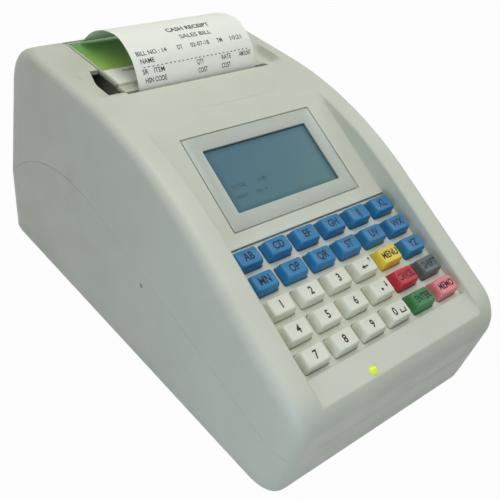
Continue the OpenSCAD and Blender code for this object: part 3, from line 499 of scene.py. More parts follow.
def buildUpperShell():
    f = shellForm
    rows = [noseStation(caseForm["noseLow"]) + ("front", share) for share in (1.0, 0.6, 0.28)]
    rows += [noseStation(a) for a in f["noseAngles"]] + [outlineStation(d) for d in f["slopeRows"] + f["crownRows"] + f["topRows"]]
    rows += [backStation(a) for a in f["backAngles"]] + [backStation(caseForm["backLean"]) + ("back", share) for share in (0.25, 0.5, 0.75, 1.0)]
    columns = shellColumns()
    ring = [Vector(onOutline(s, 0)) for s in rows]
    lengths = [0.0]
    for a, b in zip(ring, ring[1:]):
        lengths.append(lengths[-1] + (b - a).length)

    def shellPlace(row, column):
        station, (side, kind, value, xDeck, xTop) = rows[row], columns[column]
        if kind in ("slice", "cap"):
            t = value if kind == "slice" else 0
            d, z = onOutline(station, t)
            if kind == "cap":
                seamD = ring[0].x + (ring[-1].x - ring[0].x) * lengths[row] / lengths[-1]
                seamZ = seamHeight(seamD) + caseForm["seamGap"]
                d, z = seamD + (d - seamD) * value, seamZ + (z - seamZ) * value
            x = caseForm["halfWidth"] - t - caseForm["sideDraft"] * z
            return Vector((side * x, d, z))
        d, z = onOutline(station, 10)
        change = ease(d, 141, 172)
        x = xDeck + (xTop - xDeck) * change
        if len(station) == 3 and 1 < d < 150 and station[2] < 160:
            deck = softMin(deckPlane(d), z, 0.4)
            height = z - deck
            crest, foot = min(f["crestRadius"], 0.55 * height), min(f["footRadius"], 0.35 * height)
            inPad = f["slopeRows"][2] + 0.1 < d < 79.2
            if kind == "deck":
                z = deck - (2.5 if inPad else 0)
            elif kind == "foot":
                z = deck + foot * (1 - math.sin(math.radians(value)))
                if inPad:
                    z, x = deck - 2.5 * (0.2 + 0.8 * value / 90), 56.4
            elif kind == "wall":
                z = (z - crest + deck + foot) / 2
            else:
                z -= crest * (1 - math.sqrt(max(0.0, 1 - value * value)))
        z -= scoopDepth(x, d)
        return Vector((side * x, d, z))

    mesh = bmesh.new()
    bmesh.ops.create_grid(mesh, x_segments=len(columns) - 1, y_segments=len(rows) - 1, size=1.0)
    spot = {}
    for vert in mesh.verts:
        spot[vert] = (round((vert.co.y + 1) / 2 * (len(rows) - 1)), round((vert.co.x + 1) / 2 * (len(columns) - 1)))
    for vert, (row, column) in spot.items():
        vert.co = shellPlace(row, column)
    holes, recess, window = [], [], []
    low, high = (deckForm["breakD"] + (deckForm["panelV"] + s * deckForm["panelHalf"][1]) * math.cos(math.radians(deckForm["displaySlope"])) for s in (-1, 1))
    for face in mesh.faces:
        middle = face.calc_center_median()
        kinds = [columns[spot[v][1]] for v in face.verts]
        x, d = abs(middle.x), middle.y
        if middle.z < 50:
            continue
        if f["slopeRows"][2] < d < 79.25 and all(k[1] == "deck" or k[1:3] == ("foot", 90) for k in kinds):
            holes.append(face)
        elif f["mouth"][0] < d < f["mouth"][1] and x < lidForm["halfWidth"]:
            holes.append(face)
        elif f["slot"][0] < d < f["slot"][1] and x < f["slot"][2] - 0.2:
            holes.append(face)
        elif low < d < high and x < deckForm["panelHalf"][0]:
            recess.append(face)
            if 91.78 < d < 127.25 and x < deckForm["windowHalf"][0]:
                window.append(face)
    lifted = raiseFaces(mesh, recess, (0, math.sin(math.radians(deckForm["displaySlope"])), -math.cos(math.radians(deckForm["displaySlope"]))))
    thin = {v for face in lifted for v in face.verts}
    windowNow = [face for face in lifted if abs(face.calc_center_median().x) < deckForm["windowHalf"][0] and 92.3 < face.calc_center_median().y < 127.7]
    bmesh.ops.delete(mesh, geom=[face for face in holes if face.is_valid] + windowNow, context="FACES")
    thin = [v for v in thin if v.is_valid]
    bmesh.ops.remove_doubles(mesh, verts=mesh.verts, dist=0.004)
    bmesh.ops.recalc_face_normals(mesh, faces=mesh.faces)
    if sum(face.normal.z * face.calc_area() for face in mesh.faces) < 0:
        bmesh.ops.reverse_faces(mesh, faces=mesh.faces)
    layer = mesh.verts.layers.deform.verify()
    mesh.verts.ensure_lookup_table()
    for vert in mesh.verts:
        inRecess = abs(vert.co.x) < 43.6 and low < vert.co.y < high + 1 and vert.co.z < deckPlane(vert.co.y) - 0.6
        # The mouth's back edge is cut under, so that the lid's back can swing down behind its hinge
        behindLid = abs(vert.co.x) < 47.6 and abs(vert.co.y - f["mouth"][1]) < 0.4
        vert[layer][0] = 0.6 if inRecess else 0.1 if behindLid else 1.0
        if behindLid:
            vert.co.y += 1.2
    bmesh.ops.transform(mesh, matrix=onCase, verts=mesh.verts)
    wall = ("SOLIDIFY", {"thickness": caseForm["wall"] * mm, "offset": -1.0, "use_rim": True, "vertex_group": "wall", "thickness_vertex_group": 0.0})
    return finishPiece("upperShell", mesh, [finishes["shell"]], "case", ["upper_case"], 38, [wall], "wall")


upperShell = buildUpperShell()
print("upper shell made,", len(upperShell.data.polygons), "faces")


lowerForm = {
    "sideColumns": 22, "heights": [0, 0.22, 0.5, 0.78, 0.97, 1], "slices": [0, 0.5, 1.4, 2.6, 4, 5.6, 7.6, 10],
    "screws": [(sx * 66, d) for sx in (-1, 1) for d in (30, 234)], "sink": (3.4, 9.0, 1.7), "socketZ": 22, "soundHole": (119.5, 50, 1.4),
    # Rear openings: part of the wall that each is cut in, its middle, and half its width and height or its radius
    "rear": [(-10, 10, 0, 4.1, 0), (18, 34, 26, 6.1, 5.6), (-50, -34, -42, 6.1, 9.6)],
}


def openWall(mesh, faces, loops):
    # Replaces flat faces by new ones that leave the given closed loops of points open
    outer = {e for face in faces for e in face.edges if sum(f in faces for f in e.link_faces) == 1}
    bmesh.ops.delete(mesh, geom=list(faces), context="FACES")
    outer = [e for e in outer if e.is_valid]
    rims = []
    for points in loops:
        ring = bmesh.ops.create_circle(mesh, segments=len(points), radius=1.0, cap_ends=False)["verts"]
        for vert, point in zip(ring, points):
            vert.co = Vector(point)
        rims.append(list({e for v in ring for e in v.link_edges}))
    bmesh.ops.triangle_fill(mesh, use_beauty=True, use_dissolve=False, edges=outer + [e for rim in rims for e in rim])
    return rims


def ringOf(place, radius, steps=24):
    return [place(radius * math.cos(math.tau * k / steps), radius * math.sin(math.tau * k / steps)) for k in range(steps)]


def slotOf(place, halfX, halfZ):
    return [place(x * halfX, z * halfZ) for x, z in ((-1, -1), (0, -1), (1, -1), (1, 0), (1, 1), (0, 1), (-1, 1), (-1, 0))]


def lowerPlace(t, share, end):
    # A point of the lower shell on its front or back line, share of the way up to the seam
    inset, narrow = cornerAt(t)
    lean = math.radians(caseForm["noseLow"] - 180) if end == "front" else math.radians(-caseForm["tuckLean"])
    z = 0.0
    for _ in range(6):
        if end == "front":
            d = caseForm["frontTuck"] - z * math.tan(lean) + inset / math.cos(lean)
        else:
            d = caseForm["backTuck"] - z * math.tan(lean) - inset / math.cos(lean)
        d = squeeze(d, narrow)
        z = seamHeight(d) * share
    return d, z


def buildLowerShell():
    f = lowerForm
    around = []  # t, end and x sign, or a share along a side
    slices = f["slices"]
    xs = [0, 10, 18, 34, 50]
    loop = [("front", 10, x) for x in xs] + [("front", t, None) for t in reversed(slices)]
    loop += [("side", k / f["sideColumns"], None) for k in range(1, f["sideColumns"])]
    loop += [("back", t, None) for t in slices] + [("back", 10, x) for x in reversed(xs)]
    columns = [(1,) + c for c in loop] + [(-1,) + c for c in reversed(loop[1:-1])]

    def wallPlace(column, share):
        side, kind, value, x = columns[column]
        if kind == "side":
            front, back = lowerPlace(0, share, "front"), lowerPlace(0, share, "back")
            d = front[0] + (back[0] - front[0]) * value
            z = seamHeight(d) * share
            x = caseForm["halfWidth"] - caseForm["sideDraft"] * z
        else:
            d, z = lowerPlace(value, share, kind)
            x = caseForm["halfWidth"] - value - caseForm["sideDraft"] * z if x is None else x
        return Vector((side * x, d, z))

    mesh = bmesh.new()
    # The seam ring first, then down the wall, round the bottom edge and over the floor
    bmesh.ops.create_circle(mesh, segments=len(columns), radius=1.0, cap_ends=False)
    mesh.verts.ensure_lookup_table()
    ring = list(mesh.verts)
    for k, vert in enumerate(ring):
        vert.co = wallPlace(k, 1.0)
    edges = list(mesh.edges)
    order = {vert: k for k, vert in enumerate(ring)}

    def nextRing(edges, move):
        made = bmesh.ops.extrude_edge_only(mesh, edges=edges)["geom"]
        fresh = [g for g in made if isinstance(g, bmesh.types.BMVert)]
        known = set(order)
        for vert in fresh:
            order[vert] = next(order[e.other_vert(vert)] for e in vert.link_edges if e.other_vert(vert) in known)
        for vert in fresh:
            vert.co = move(order[vert], vert.co)
        return [g for g in made if isinstance(g, bmesh.types.BMEdge)]

    for share in reversed(f["heights"][1:-1]):
        edges = nextRing(edges, lambda k, co, share=share: wallPlace(k, share))
    edge = 0.9
    edges = nextRing(edges, lambda k, co: Vector((*wallPlace(k, 0.0).xy, edge)))
    for angle in (30, 60, 90):
        def roundUnder(k, co, angle=angle):
            flat = wallPlace(k, 0.0)
            inward = Vector((-math.copysign(ease(abs(flat.x), 62, 73), flat.x), -math.copysign(ease(abs(flat.y - 140), 127, 137), flat.y - 140), 0))
            inward.normalize()
            drawn = edge * (1 - math.cos(math.radians(angle)))
            return Vector((flat.x + inward.x * drawn, flat.y + inward.y * drawn, edge * (1 - math.sin(math.radians(angle)))))
        edges = nextRing(edges, roundUnder)
    floor = bmesh.ops.edgeloop_fill(mesh, edges=edges)["faces"]
    # Sinks for the case screws, open from under the floor
    rims = openWall(mesh, set(floor), [ringOf(lambda u, v, at=at: (at[0] + u, at[1] + v, 0), f["sink"][0]) for at in f["screws"]])
    for at, rim in zip(f["screws"], rims):
        for height, radius in ((f["sink"][1], f["sink"][0]), (f["sink"][1], f["sink"][2])):
            made = bmesh.ops.extrude_edge_only(mesh, edges=rim)["geom"]
            rim = [g for g in made if isinstance(g, bmesh.types.BMEdge)]
            for vert in (g for g in made if isinstance(g, bmesh.types.BMVert)):
                out = Vector((vert.co.x - at[0], vert.co.y - at[1])).normalized() * radius
                vert.co = Vector((at[0] + out.x, at[1] + out.y, height))

    def onBack(x, z):
        return (x, caseForm["backTuck"] + z * math.tan(math.radians(caseForm["tuckLean"])), z)

    def onLeft(d, z):
        return (-caseForm["halfWidth"] + caseForm["sideDraft"] * z, d, z)

    def within(face, low, high, axis, flat):
        # Rows 0.22 to 0.78, or 0.78 to 0.97, of the wall
        middle = face.calc_center_median()
        return low < middle[axis] < high and flat(middle)

    backZ = f["socketZ"]
    for low, high, x, halfX, halfZ in f["rear"]:
        back = {face for face in mesh.faces if face.calc_center_median().y > 275 and within(face, low, high, 0, lambda m: 9.3 < m.z < 32)}
        place = lambda u, v: onBack(x + u, backZ + v)
        openWall(mesh, back, [slotOf(place, halfX, halfZ) if halfZ else ringOf(place, halfX)])
    d, z, radius = f["soundHole"]
    left = {face for face in mesh.faces if face.calc_center_median().x < -71 and within(face, d - 13, d + 13, 1, lambda m: 46 < m.z < 54)}
    openWall(mesh, left, [ringOf(lambda u, v: onLeft(d + u, z + v), radius, 16)])
    bmesh.ops.recalc_face_normals(mesh, faces=mesh.faces)
    lowest = min(mesh.faces, key=lambda face: face.calc_center_median().z)
    if lowest.normal.z > 0:
        bmesh.ops.reverse_faces(mesh, faces=mesh.faces)
    bmesh.ops.transform(mesh, matrix=onCase, verts=mesh.verts)
    return finishPiece("lowerShell", mesh, [finishes["shell"]], "case", ["lower_case"], 38,
                       [("SOLIDIFY", {"thickness": caseForm["wall"] * mm, "offset": -1.0, "use_rim": True})])


lowerShell = buildLowerShell()
print("lower shell made")


# Keys

keyForm = {
    "pitchX": 18.5, "pitchY": 13.65, "padV": -37.7, "top": (12.5, 8.3), "base": (14.4, 10.2), "flange": (16.6, 12.2),
    "proud": 4.0, "skirt": -5.3, "corner": 1.3, "dish": 0.14, "dishEdge": 0.5, "hollow": 2.4, "stem": (1.6, -6.8), "letter": 5.8, "word": 5.3, "wordWidth": 10.8, "bold": 0.15,
}
keyRows = [
    ("key_ab", "AB", "keyBlue"), ("key_cd", "CD", "keyBlue"), ("key_ef", "EF", "keyBlue"), ("key_gh", "GH", "keyBlue"), ("key_ij", "IJ", "keyBlue"), ("key_kl", "KL", "keyBlue"),
    ("key_mn", "MN", "keyBlue"), ("key_op", "OP", "keyBlue"), ("key_qr", "QR", "keyBlue"), ("key_st", "ST", "keyBlue"), ("key_uv", "UV", "keyBlue"), ("key_wx", "WX", "keyBlue"),
    ("key_1", "1", "keyWhite"), ("key_2", "2", "keyWhite"), ("key_3", "3", "keyWhite"), ("key_back", "arrows", "keyWhite"), ("key_menu", "MENU", "keyYellow"), ("key_yz", "YZ", "keyBlue"),
    ("key_4", "4", "keyWhite"), ("key_5", "5", "keyWhite"), ("key_6", "6", "keyWhite"), ("key_point", "point", "keyWhite"), ("key_cancel", "CANCEL", "keyRed"), ("key_shift", "SHIFT", "keyGrey"),
    ("key_7", "7", "keyWhite"), ("key_8", "8", "keyWhite"), ("key_9", "9", "keyWhite"), ("key_0", "zero", "keyWhite"), ("key_enter", "ENTER", "keyGreen"), ("key_memo", "MEMO", "keyPink"),
]


def textMesh(words, size, wide=1.0, bold=0.0, depth=0.0, align="CENTER"):
    curve = bpy.data.curves.new("words", "FONT")
    curve.body, curve.size, curve.offset, curve.extrude = words, size, bold, depth
    curve.align_x, curve.align_y, curve.resolution_u = align, "CENTER", 3
    holder = bpy.data.objects.new("words", curve)
    bpy.context.scene.collection.objects.link(holder)
    bpy.context.view_layer.update()
    data = bpy.data.meshes.new_from_object(holder.evaluated_get(bpy.context.evaluated_depsgraph_get()))
    bpy.data.objects.remove(holder)
    bpy.data.curves.remove(curve)
    mesh = bmesh.new()
    mesh.from_mesh(data)
    bpy.data.meshes.remove(data)
    bmesh.ops.scale(mesh, vec=(wide, 1, 1), verts=mesh.verts)
    return mesh


def joinInto(mesh, other, matrix, index=0):
    # Adds another bmesh to this one, moved by matrix and given a material index
    bmesh.ops.transform(other, matrix=matrix, verts=other.verts)
    for face in other.faces:
        face.material_index = index
    data = bpy.data.meshes.new("part")
    other.to_mesh(data)
    other.free()
    mesh.from_mesh(data)
    bpy.data.meshes.remove(data)


def addArrow(mesh, x, y, angle, size, z, index):
    part = bmesh.new()
    shaft = bmesh.ops.create_grid(part, x_segments=1, y_segments=1, size=0.5)["verts"]
    for vert in shaft:
        vert.co = Vector((vert.co.x * size * 0.75 - size * 0.12, vert.co.y * size * 0.2, 0))
    tip = bmesh.ops.create_circle(part, segments=3, radius=size * 0.36, cap_ends=True)["verts"]
    bmesh.ops.rotate(part, verts=tip, cent=(0, 0, 0), matrix=Matrix.Rotation(math.radians(-90), 3, "Z"))
    bmesh.ops.translate(part, verts=tip, vec=(size * 0.3, 0, 0.002))
    bmesh.ops.recalc_face_normals(part, faces=part.faces)
    for face in part.faces:
        if face.normal.z < 0:
            face.normal_flip()
    joinInto(mesh, part, Matrix.Translation((x, y, z)) @ Matrix.Rotation(math.radians(angle), 4, "Z"), index)


def buildKey(index, name, legend, finishName):
    f = keyForm
    halfBase, halfTop = (f["base"][0] / 2, f["base"][1] / 2), (f["top"][0] / 2, f["top"][1] / 2)
    # bottom, flange, skirt, body, shoulder, rim and dished top
    steps = [
        (f["skirt"], f["flange"][0] / 2, f["flange"][1] / 2), (f["skirt"], halfBase[0], halfBase[1]), (-1.2, halfBase[0], halfBase[1]),
        (0.6, halfBase[0] - 0.22, halfBase[1] - 0.22), (2.4, halfTop[0] + 0.5, halfTop[1] + 0.5), (3.2, halfTop[0] + 0.22, halfTop[1] + 0.22),
        (3.66, halfTop[0] + 0.02, halfTop[1] + 0.02), (3.9, halfTop[0] - 0.2, halfTop[1] - 0.2), (3.99, halfTop[0] - 0.5, halfTop[1] - 0.5),
        (4.0, halfTop[0] - 0.85, halfTop[1] - 0.85),
    ]
    mesh = bmesh.new()
    bmesh.ops.create_grid(mesh, x_segments=1, y_segments=1, size=1.0)
    for vert in mesh.verts:
        vert.co = Vector((vert.co.x * f["flange"][0] / 2, vert.co.y * f["flange"][1] / 2, f["skirt"] - 1.0))
    bmesh.ops.bevel(mesh, geom=mesh.verts[:], offset=f["corner"], offset_type="OFFSET", affect="VERTICES", segments=4, profile=0.5, material=-1)
    halfNow = (f["flange"][0] / 2, f["flange"][1] / 2)
    top = mesh.faces[:]
    first = True
    for z, halfX, halfY in steps:
        made = bmesh.ops.extrude_face_region(mesh, geom=top)["geom"]
        verts = [g for g in made if isinstance(g, bmesh.types.BMVert)]
        for vert in verts:
            # straight sides move in together, so that the corners keep their radius
            x = math.copysign(max(0.0, abs(vert.co.x) - (halfNow[0] - halfX)), vert.co.x)
            y = math.copysign(max(0.0, abs(vert.co.y) - (halfNow[1] - halfY)), vert.co.y)
            vert.co = Vector((x, y, z))
        if not first:
            bmesh.ops.delete(mesh, geom=top, context="FACES_ONLY")
        first = False
        top = [g for g in made if isinstance(g, bmesh.types.BMFace)]
        halfNow = (halfX, halfY)
    bmesh.ops.inset_region(mesh, faces=top, thickness=f["dishEdge"], depth=0.0, use_even_offset=True)
    for vert in top[0].verts:
        vert.co.z -= f["dish"]
    # Hollow from below, with the stem that meets the switch
    under = [min(mesh.faces, key=lambda face: face.calc_center_median().z)]
    for drawn, z in ((2.5, f["skirt"] - 1.0), (0.0, f["hollow"])):
        made = bmesh.ops.extrude_face_region(mesh, geom=under)["geom"]
        for vert in (g for g in made if isinstance(g, bmesh.types.BMVert)):
            vert.co = Vector((math.copysign(max(0.0, abs(vert.co.x) - drawn), vert.co.x), math.copysign(max(0.0, abs(vert.co.y) - drawn), vert.co.y), z))
        bmesh.ops.delete(mesh, geom=under, context="FACES_ONLY")
        under = [g for g in made if isinstance(g, bmesh.types.BMFace)]
    bmesh.ops.recalc_face_normals(mesh, faces=mesh.faces)
    stem = bmesh.new()
    addSpun(stem, [(0, f["stem"][1]), (f["stem"][0] - 0.2, f["stem"][1]), (f["stem"][0], f["stem"][1] + 0.2), (f["stem"][0], f["hollow"] + 0.2), (0, f["hollow"] + 0.2)], (0, 0, 0), "z", 16)
    joinInto(mesh, stem, Matrix.Identity(4), 0)
    z = 4.0 - f["dish"] + 0.02
    legendStart = len(mesh.verts)
    if legend == "arrows":
        addArrow(mesh, -0.4, -0.6, 180, 4.0, z, 1)
        addArrow(mesh, 4.2, 2.0, 90, 2.6, z, 1)
    elif legend == "point":
        dot = bmesh.new()
        bmesh.ops.create_circle(dot, segments=16, radius=0.75, cap_ends=True)
        joinInto(mesh, dot, Matrix.Translation((-0.2, -1.0, z)), 1)
        addArrow(mesh, 3.5, 0.9, -90, 3.0, z, 1)
    elif legend == "zero":
        joinInto(mesh, textMesh("0", f["letter"] * 1.02, 0.82, f["bold"]), Matrix.Translation((-2.6, 0, z)), 1)
        for low, high in (((0.6, -1.5), (1.25, 0.3)), ((0.6, -2.1), (4.4, -1.45)), ((3.75, -1.5), (4.4, 0.3))):
            bar = bmesh.new()
            corner = bmesh.ops.create_grid(bar, x_segments=1, y_segments=1, size=0.5)["verts"]
            for vert in corner:
                vert.co = Vector(((low[0] + high[0]) / 2 + vert.co.x * (high[0] - low[0]), (low[1] + high[1]) / 2 + vert.co.y * (high[1] - low[1]), 0))
            joinInto(mesh, bar, Matrix.Translation((0, 0, z + 0.002)), 1)
    elif len(legend) < 3:
        joinInto(mesh, textMesh(legend, f["letter"], 0.8, f["bold"]), Matrix.Translation((0, 0, z)), 1)
    else:
        word = textMesh(legend, f["word"], 1.0, f["bold"])
        across = [vert.co.x for vert in word.verts]
        narrow = f["wordWidth"] / (max(across) - min(across))
        joinInto(mesh, word, Matrix.Translation((0, 0, z)) @ Matrix.Diagonal((narrow, 1, 1, 1)), 1)
    # Legends climb with the rim of the dished top
    for vert in mesh.verts[legendStart:]:
        out = max(abs(vert.co.x) - halfTop[0] + 0.85, abs(vert.co.y) - halfTop[1] + 0.85)
        vert.co.z += f["dish"] * min(1.0, max(0.0, 1 + out / f["dishEdge"]))
    x = (index % 6 - 2.5) * f["pitchX"]
    y = f["padV"] + (2 - index // 6) * f["pitchY"]
    bmesh.ops.transform(mesh, matrix=onKeys @ Matrix.Translation((x, y, 0)), verts=mesh.verts)
    return finishPiece(name + "_cap", mesh, [finishes[finishName], finishes["ink"]], name, [name], 32)


for index, (name, legend, finishName) in enumerate(keyRows):
    buildKey(index, name, legend, finishName)
print("keys made")


# Display

displayForm = {"panel": (42.75, 26.95, 1.0), "window": (34.8, 18.5), "glassTop": -1.45, "glass": (35.2, 18.9)}


def buildPanel():
    f = displayForm
    mesh = bmesh.new()
    halfX, halfY, thick = f["panel"]
    outer = bmesh.ops.create_grid(mesh, x_segments=1, y_segments=1, size=1.0)["verts"]
    for vert in outer:
        vert.co = Vector((vert.co.x * halfX, vert.co.y * halfY, -thick))
    bmesh.ops.bevel(mesh, geom=outer, offset=1.2, offset_type="OFFSET", affect="VERTICES", segments=4, profile=0.5, material=-1)
    outerEdges = mesh.edges[:]
    bmesh.ops.delete(mesh, geom=mesh.faces[:], context="FACES_ONLY")
    before = set(mesh.verts)
    inner = bmesh.ops.create_grid(mesh, x_segments=1, y_segments=1, size=1.0)["verts"]
    for vert in inner:
        vert.co = Vector((vert.co.x * f["window"][0], vert.co.y * f["window"][1], -thick))
    bmesh.ops.bevel(mesh, geom=inner, offset=0.8, offset_type="OFFSET", affect="VERTICES", segments=4, profile=0.5, material=-1)
    bmesh.ops.delete(mesh, geom=mesh.faces[:], context="FACES_ONLY")
    innerEdges = [e for e in mesh.edges if all(v not in before for v in e.verts)]
    bmesh.ops.bridge_loops(mesh, edges=outerEdges + innerEdges)
    made = bmesh.ops.extrude_face_region(mesh, geom=mesh.faces[:])["geom"]
    bmesh.ops.translate(mesh, verts=[g for g in made if isinstance(g, bmesh.types.BMVert)], vec=(0, 0, thick))
    bmesh.ops.recalc_face_normals(mesh, faces=mesh.faces)
    rims = [e for e in mesh.edges if all(v.co.z > -0.01 for v in e.verts) and e.calc_face_angle(0) > 1.0]
    bevelEdges(mesh, rims, 0.22, 2)
    bmesh.ops.transform(mesh, matrix=onDisplay, verts=mesh.verts)
    return finishPiece("panelFilm", mesh, [finishes["panel"]], "case", ["display_panel"], 35)


def lensFinish():
    # Backlit module under glass: even teal, with painted shade of the window's inner edge darkening it towards its
    # border, and faint rows of cells
    finish, tree, shader, place = startFinish("lcdTeal", (0, 0, 0))
    spots = addNode(tree, "UVMap", (-1100, -300))
    split = addNode(tree, "SeparateXYZ", (-900, -300), {0: spots.outputs["UV"]})
    edgeX = rangeNode(tree, (-700, -250), mathNode(tree, (-800, -250), "ABSOLUTE", mathNode(tree, (-850, -250), "SUBTRACT", split.outputs[0], 0.5)), 0.42, 0.5)
    edgeY = rangeNode(tree, (-700, -400), mathNode(tree, (-800, -400), "ABSOLUTE", mathNode(tree, (-850, -400), "SUBTRACT", split.outputs[1], 0.5)), 0.4, 0.5)
    # Painted shade: the window's inner edge shadow, darkest at the border of the glass
    paintedRimShade = mathNode(tree, (-500, -300), "MAXIMUM", edgeX, edgeY)
    slow = rangeNode(tree, (-700, 200), noiseNode(tree, (-900, 200), place, 30.0, 2.0), 0.3, 0.7)
    across = rangeNode(tree, (-700, 400), mathNode(tree, (-800, 400), "SUBTRACT", split.outputs[0], split.outputs[1]), -0.6, 0.9)
    base = mixColour(tree, (-400, 200), slow, tint(91, 128, 144), tint(86, 122, 137))
    base = mixColour(tree, (-300, 300), across, base, tint(94, 133, 136))
    tree.links.new(mixColour(tree, (-200, 200), mathNode(tree, (-300, -300), "MULTIPLY", paintedRimShade, 0.6), base, tint(62, 92, 106)), shader.inputs["Base Color"])
    cells = addNode(tree, "TexBrick", (-700, -600), {"Vector": spots.outputs["UV"], "Color1": (1, 1, 1, 1), "Color2": (0.9, 0.9, 0.9, 1), "Mortar": (0, 0, 0, 1),
                                                    "Scale": 1.0, "Mortar Size": 0.0006, "Brick Width": 1 / 128, "Row Height": 1 / 64}, offset=0.0)
    addBump(tree, shader, cells.outputs[0], 0.05, 0.00002)
    tree.links.new(rangeNode(tree, (-400, -100), slow, 0.0, 1.0, 0.16, 0.22), shader.inputs["Roughness"])
    shader.inputs["Specular IOR Level"].default_value = 0.4
    return finish


def buildGlass():
    f = displayForm
    mesh = bmesh.new()
    bmesh.ops.create_grid(mesh, x_segments=8, y_segments=4, size=1.0)
    layer = mesh.loops.layers.uv.new("UVMap")
    for face in mesh.faces:
        for loop in face.loops:
            loop[layer].uv = (loop.vert.co.x / 2 + 0.5, loop.vert.co.y / 2 + 0.5)
    for vert in mesh.verts:
        vert.co = Vector((vert.co.x * f["glass"][0], vert.co.y * f["glass"][1], f["glassTop"]))
    made = bmesh.ops.extrude_face_region(mesh, geom=mesh.faces[:])["geom"]
    bmesh.ops.translate(mesh, verts=[g for g in made if isinstance(g, bmesh.types.BMVert)], vec=(0, 0, -2.7))
    bmesh.ops.recalc_face_normals(mesh, faces=mesh.faces)
    words = [("TOTAL", 3.4, -30, -4.6), ("0.00", 3.4, -13, -4.6), ("READY", 2.6, -30, -10.2), ("BILL 14", 2.6, -17.5, -10.2)]
    for body, size, x, y in words:
        joinInto(mesh, textMesh(body, size, 0.9, 0.02, align="LEFT"), Matrix.Translation((x, y, f["glassTop"] + 0.02)), 1)
    bmesh.ops.transform(mesh, matrix=onDisplay, verts=mesh.verts)
    dim = plasticFinish("lcdDots", tint(52, 80, 88), tint(46, 74, 82), smudge=0.0, depth=0.05, roughness=0.3)
    return finishPiece("lcdGlass", mesh, [lensFinish(), dim], "case", ["display_glass"], 35, [])


buildPanel()
buildGlass()


def lampFinish():
    finish, tree, shader, place = startFinish("lampLens")
    slow = rangeNode(tree, (-700, 200), noiseNode(tree, (-900, 200), place, 400.0, 2.0), 0.3, 0.7)
    tree.links.new(mixColour(tree, (-300, 200), slow, tint(206, 222, 70), tint(190, 208, 44)), shader.inputs["Base Color"])
    tree.links.new(mixColour(tree, (-300, 0), slow, tint(214, 232, 60), tint(188, 214, 30)), shader.inputs["Emission Color"])
    shader.inputs["Emission Strength"].default_value = 0.35
    shader.inputs["Roughness"].default_value = 0.18
    shader.inputs["Coat Weight"].default_value = 0.5
    return finish


def buildLamp():
    mesh = bmesh.new()
    profile = [(0, -6), (2.0, -6), (2.4, -5.6), (2.4, 0.1)] + [(2.4 * math.cos(math.radians(a)), 0.1 + 1.35 * math.sin(math.radians(a))) for a in (18, 36, 54, 72)] + [(0, 1.45)]
    addSpun(mesh, profile, (-22, -83, 0), "z", 32)
    bmesh.ops.transform(mesh, matrix=onKeys, verts=mesh.verts)
    return finishPiece("lampLens", mesh, [lampFinish()], "case", ["status_led"], 40)


buildLamp()
print("display and lamp made")


# Lid with its label, and the printed paper

lidVisual = {"front": -59.6, "back": 5.2, "halfWidth": 46.75, "step": -52.6, "drop": 0.9, "thick": 2.5, "label": (3.0, -34.6), "strip": (-34.9, -51.4), "labelHalf": 45.6,
             "badge": {"x": 6.5, "d": 158, "half": (32.5, 10.2), "lift": 0.16}}


def topD(t):
    return lidForm["hingeD"] + t * math.cos(math.radians(caseForm["topAngle"]))


def lidPoint(x, t, h=0.0):
    station = outlineStation(topD(t))
    flat = turn(station[2], h, station[:2])
    return Vector((x, flat[0], flat[1]))


def stripMesh(halfX, ts, xs, height):
    # A sheet over the lid's curve; height gives how far each t lies over the outline
    mesh = bmesh.new()
    bmesh.ops.create_grid(mesh, x_segments=len(xs) - 1, y_segments=len(ts) - 1, size=1.0)
    layer = mesh.loops.layers.uv.new("UVMap")
    for face in mesh.faces:
        for loop in face.loops:
            loop[layer].uv = (loop.vert.co.x / 2 + 0.5, loop.vert.co.y / 2 + 0.5)
    for vert in mesh.verts:
        i, j = round((vert.co.x + 1) / 2 * (len(xs) - 1)), round((vert.co.y + 1) / 2 * (len(ts) - 1))
        vert.co = lidPoint(xs[i], ts[j], height(ts[j]))
    bmesh.ops.recalc_face_normals(mesh, faces=mesh.faces)
    if sum(face.normal.z * face.calc_area() for face in mesh.faces) < 0:
        bmesh.ops.reverse_faces(mesh, faces=mesh.faces)
    bmesh.ops.transform(mesh, matrix=onCase, verts=mesh.verts)
    return mesh


def buildLid():
    f = lidVisual
    ts = [f["front"], f["front"] + 0.7, -56, -54.4, f["step"] - 0.9, f["step"] - 0.05, f["step"] + 0.05, f["step"] + 0.8] + [-50 + 4.5 * k for k in range(12)] + [f["back"] - 0.7, f["back"]]
    xs = [-f["halfWidth"], -f["halfWidth"] + 0.8] + [-44 + 8 * k for k in range(12)] + [f["halfWidth"] - 0.8, f["halfWidth"]]
    mesh = stripMesh(f["halfWidth"], ts, xs, lambda t: -f["drop"] if t < f["step"] else 0.0)
    made = bmesh.ops.solidify(mesh, geom=mesh.faces[:], thickness=f["thick"] * mm)
    bmesh.ops.recalc_face_normals(mesh, faces=mesh.faces)
    inverse = onTop.inverted()
    # Arms that carry the platen, and barrels round the hinge pin
    for side in (-1, 1):
        low, high = sorted((side * 41.25, side * 43.25))
        arm = bmesh.new()
        addBox(arm, (low, -60.4, -10.2), (high, -50.0, -2.2), 0.6, 2)
        joinInto(mesh, arm, onTop)
        arm = bmesh.new()
        addSpun(arm, [(3.5, low), (5.5, low), (5.5, high), (3.5, high), (3.5, low)], (0, -55.2, -10.2), "x", 40)
        joinInto(mesh, arm, onTop)
        arm = bmesh.new()
        addBox(arm, (low, -50.5, -5.5), (high, -17, -2.2), 0.5, 2)
        joinInto(mesh, arm, onTop)
        low, high = sorted((side * 22, side * 41.05))
        arm = bmesh.new()
        addSpun(arm, [(1.56, low), (4.2, low), (4.2, high), (1.56, high), (1.56, low)], (0, 0, -6.5), "x", 40)
        addBox(arm, (low, -4.2, -6.5 + 2.0), (high, 4.2, -2.2), 0.0)
        joinInto(mesh, arm, onTop)
    return finishPiece("lidShell", mesh, [finishes["lid"]], "lid", ["paper_lid"], 38, [softEdges(0.35, 50)])


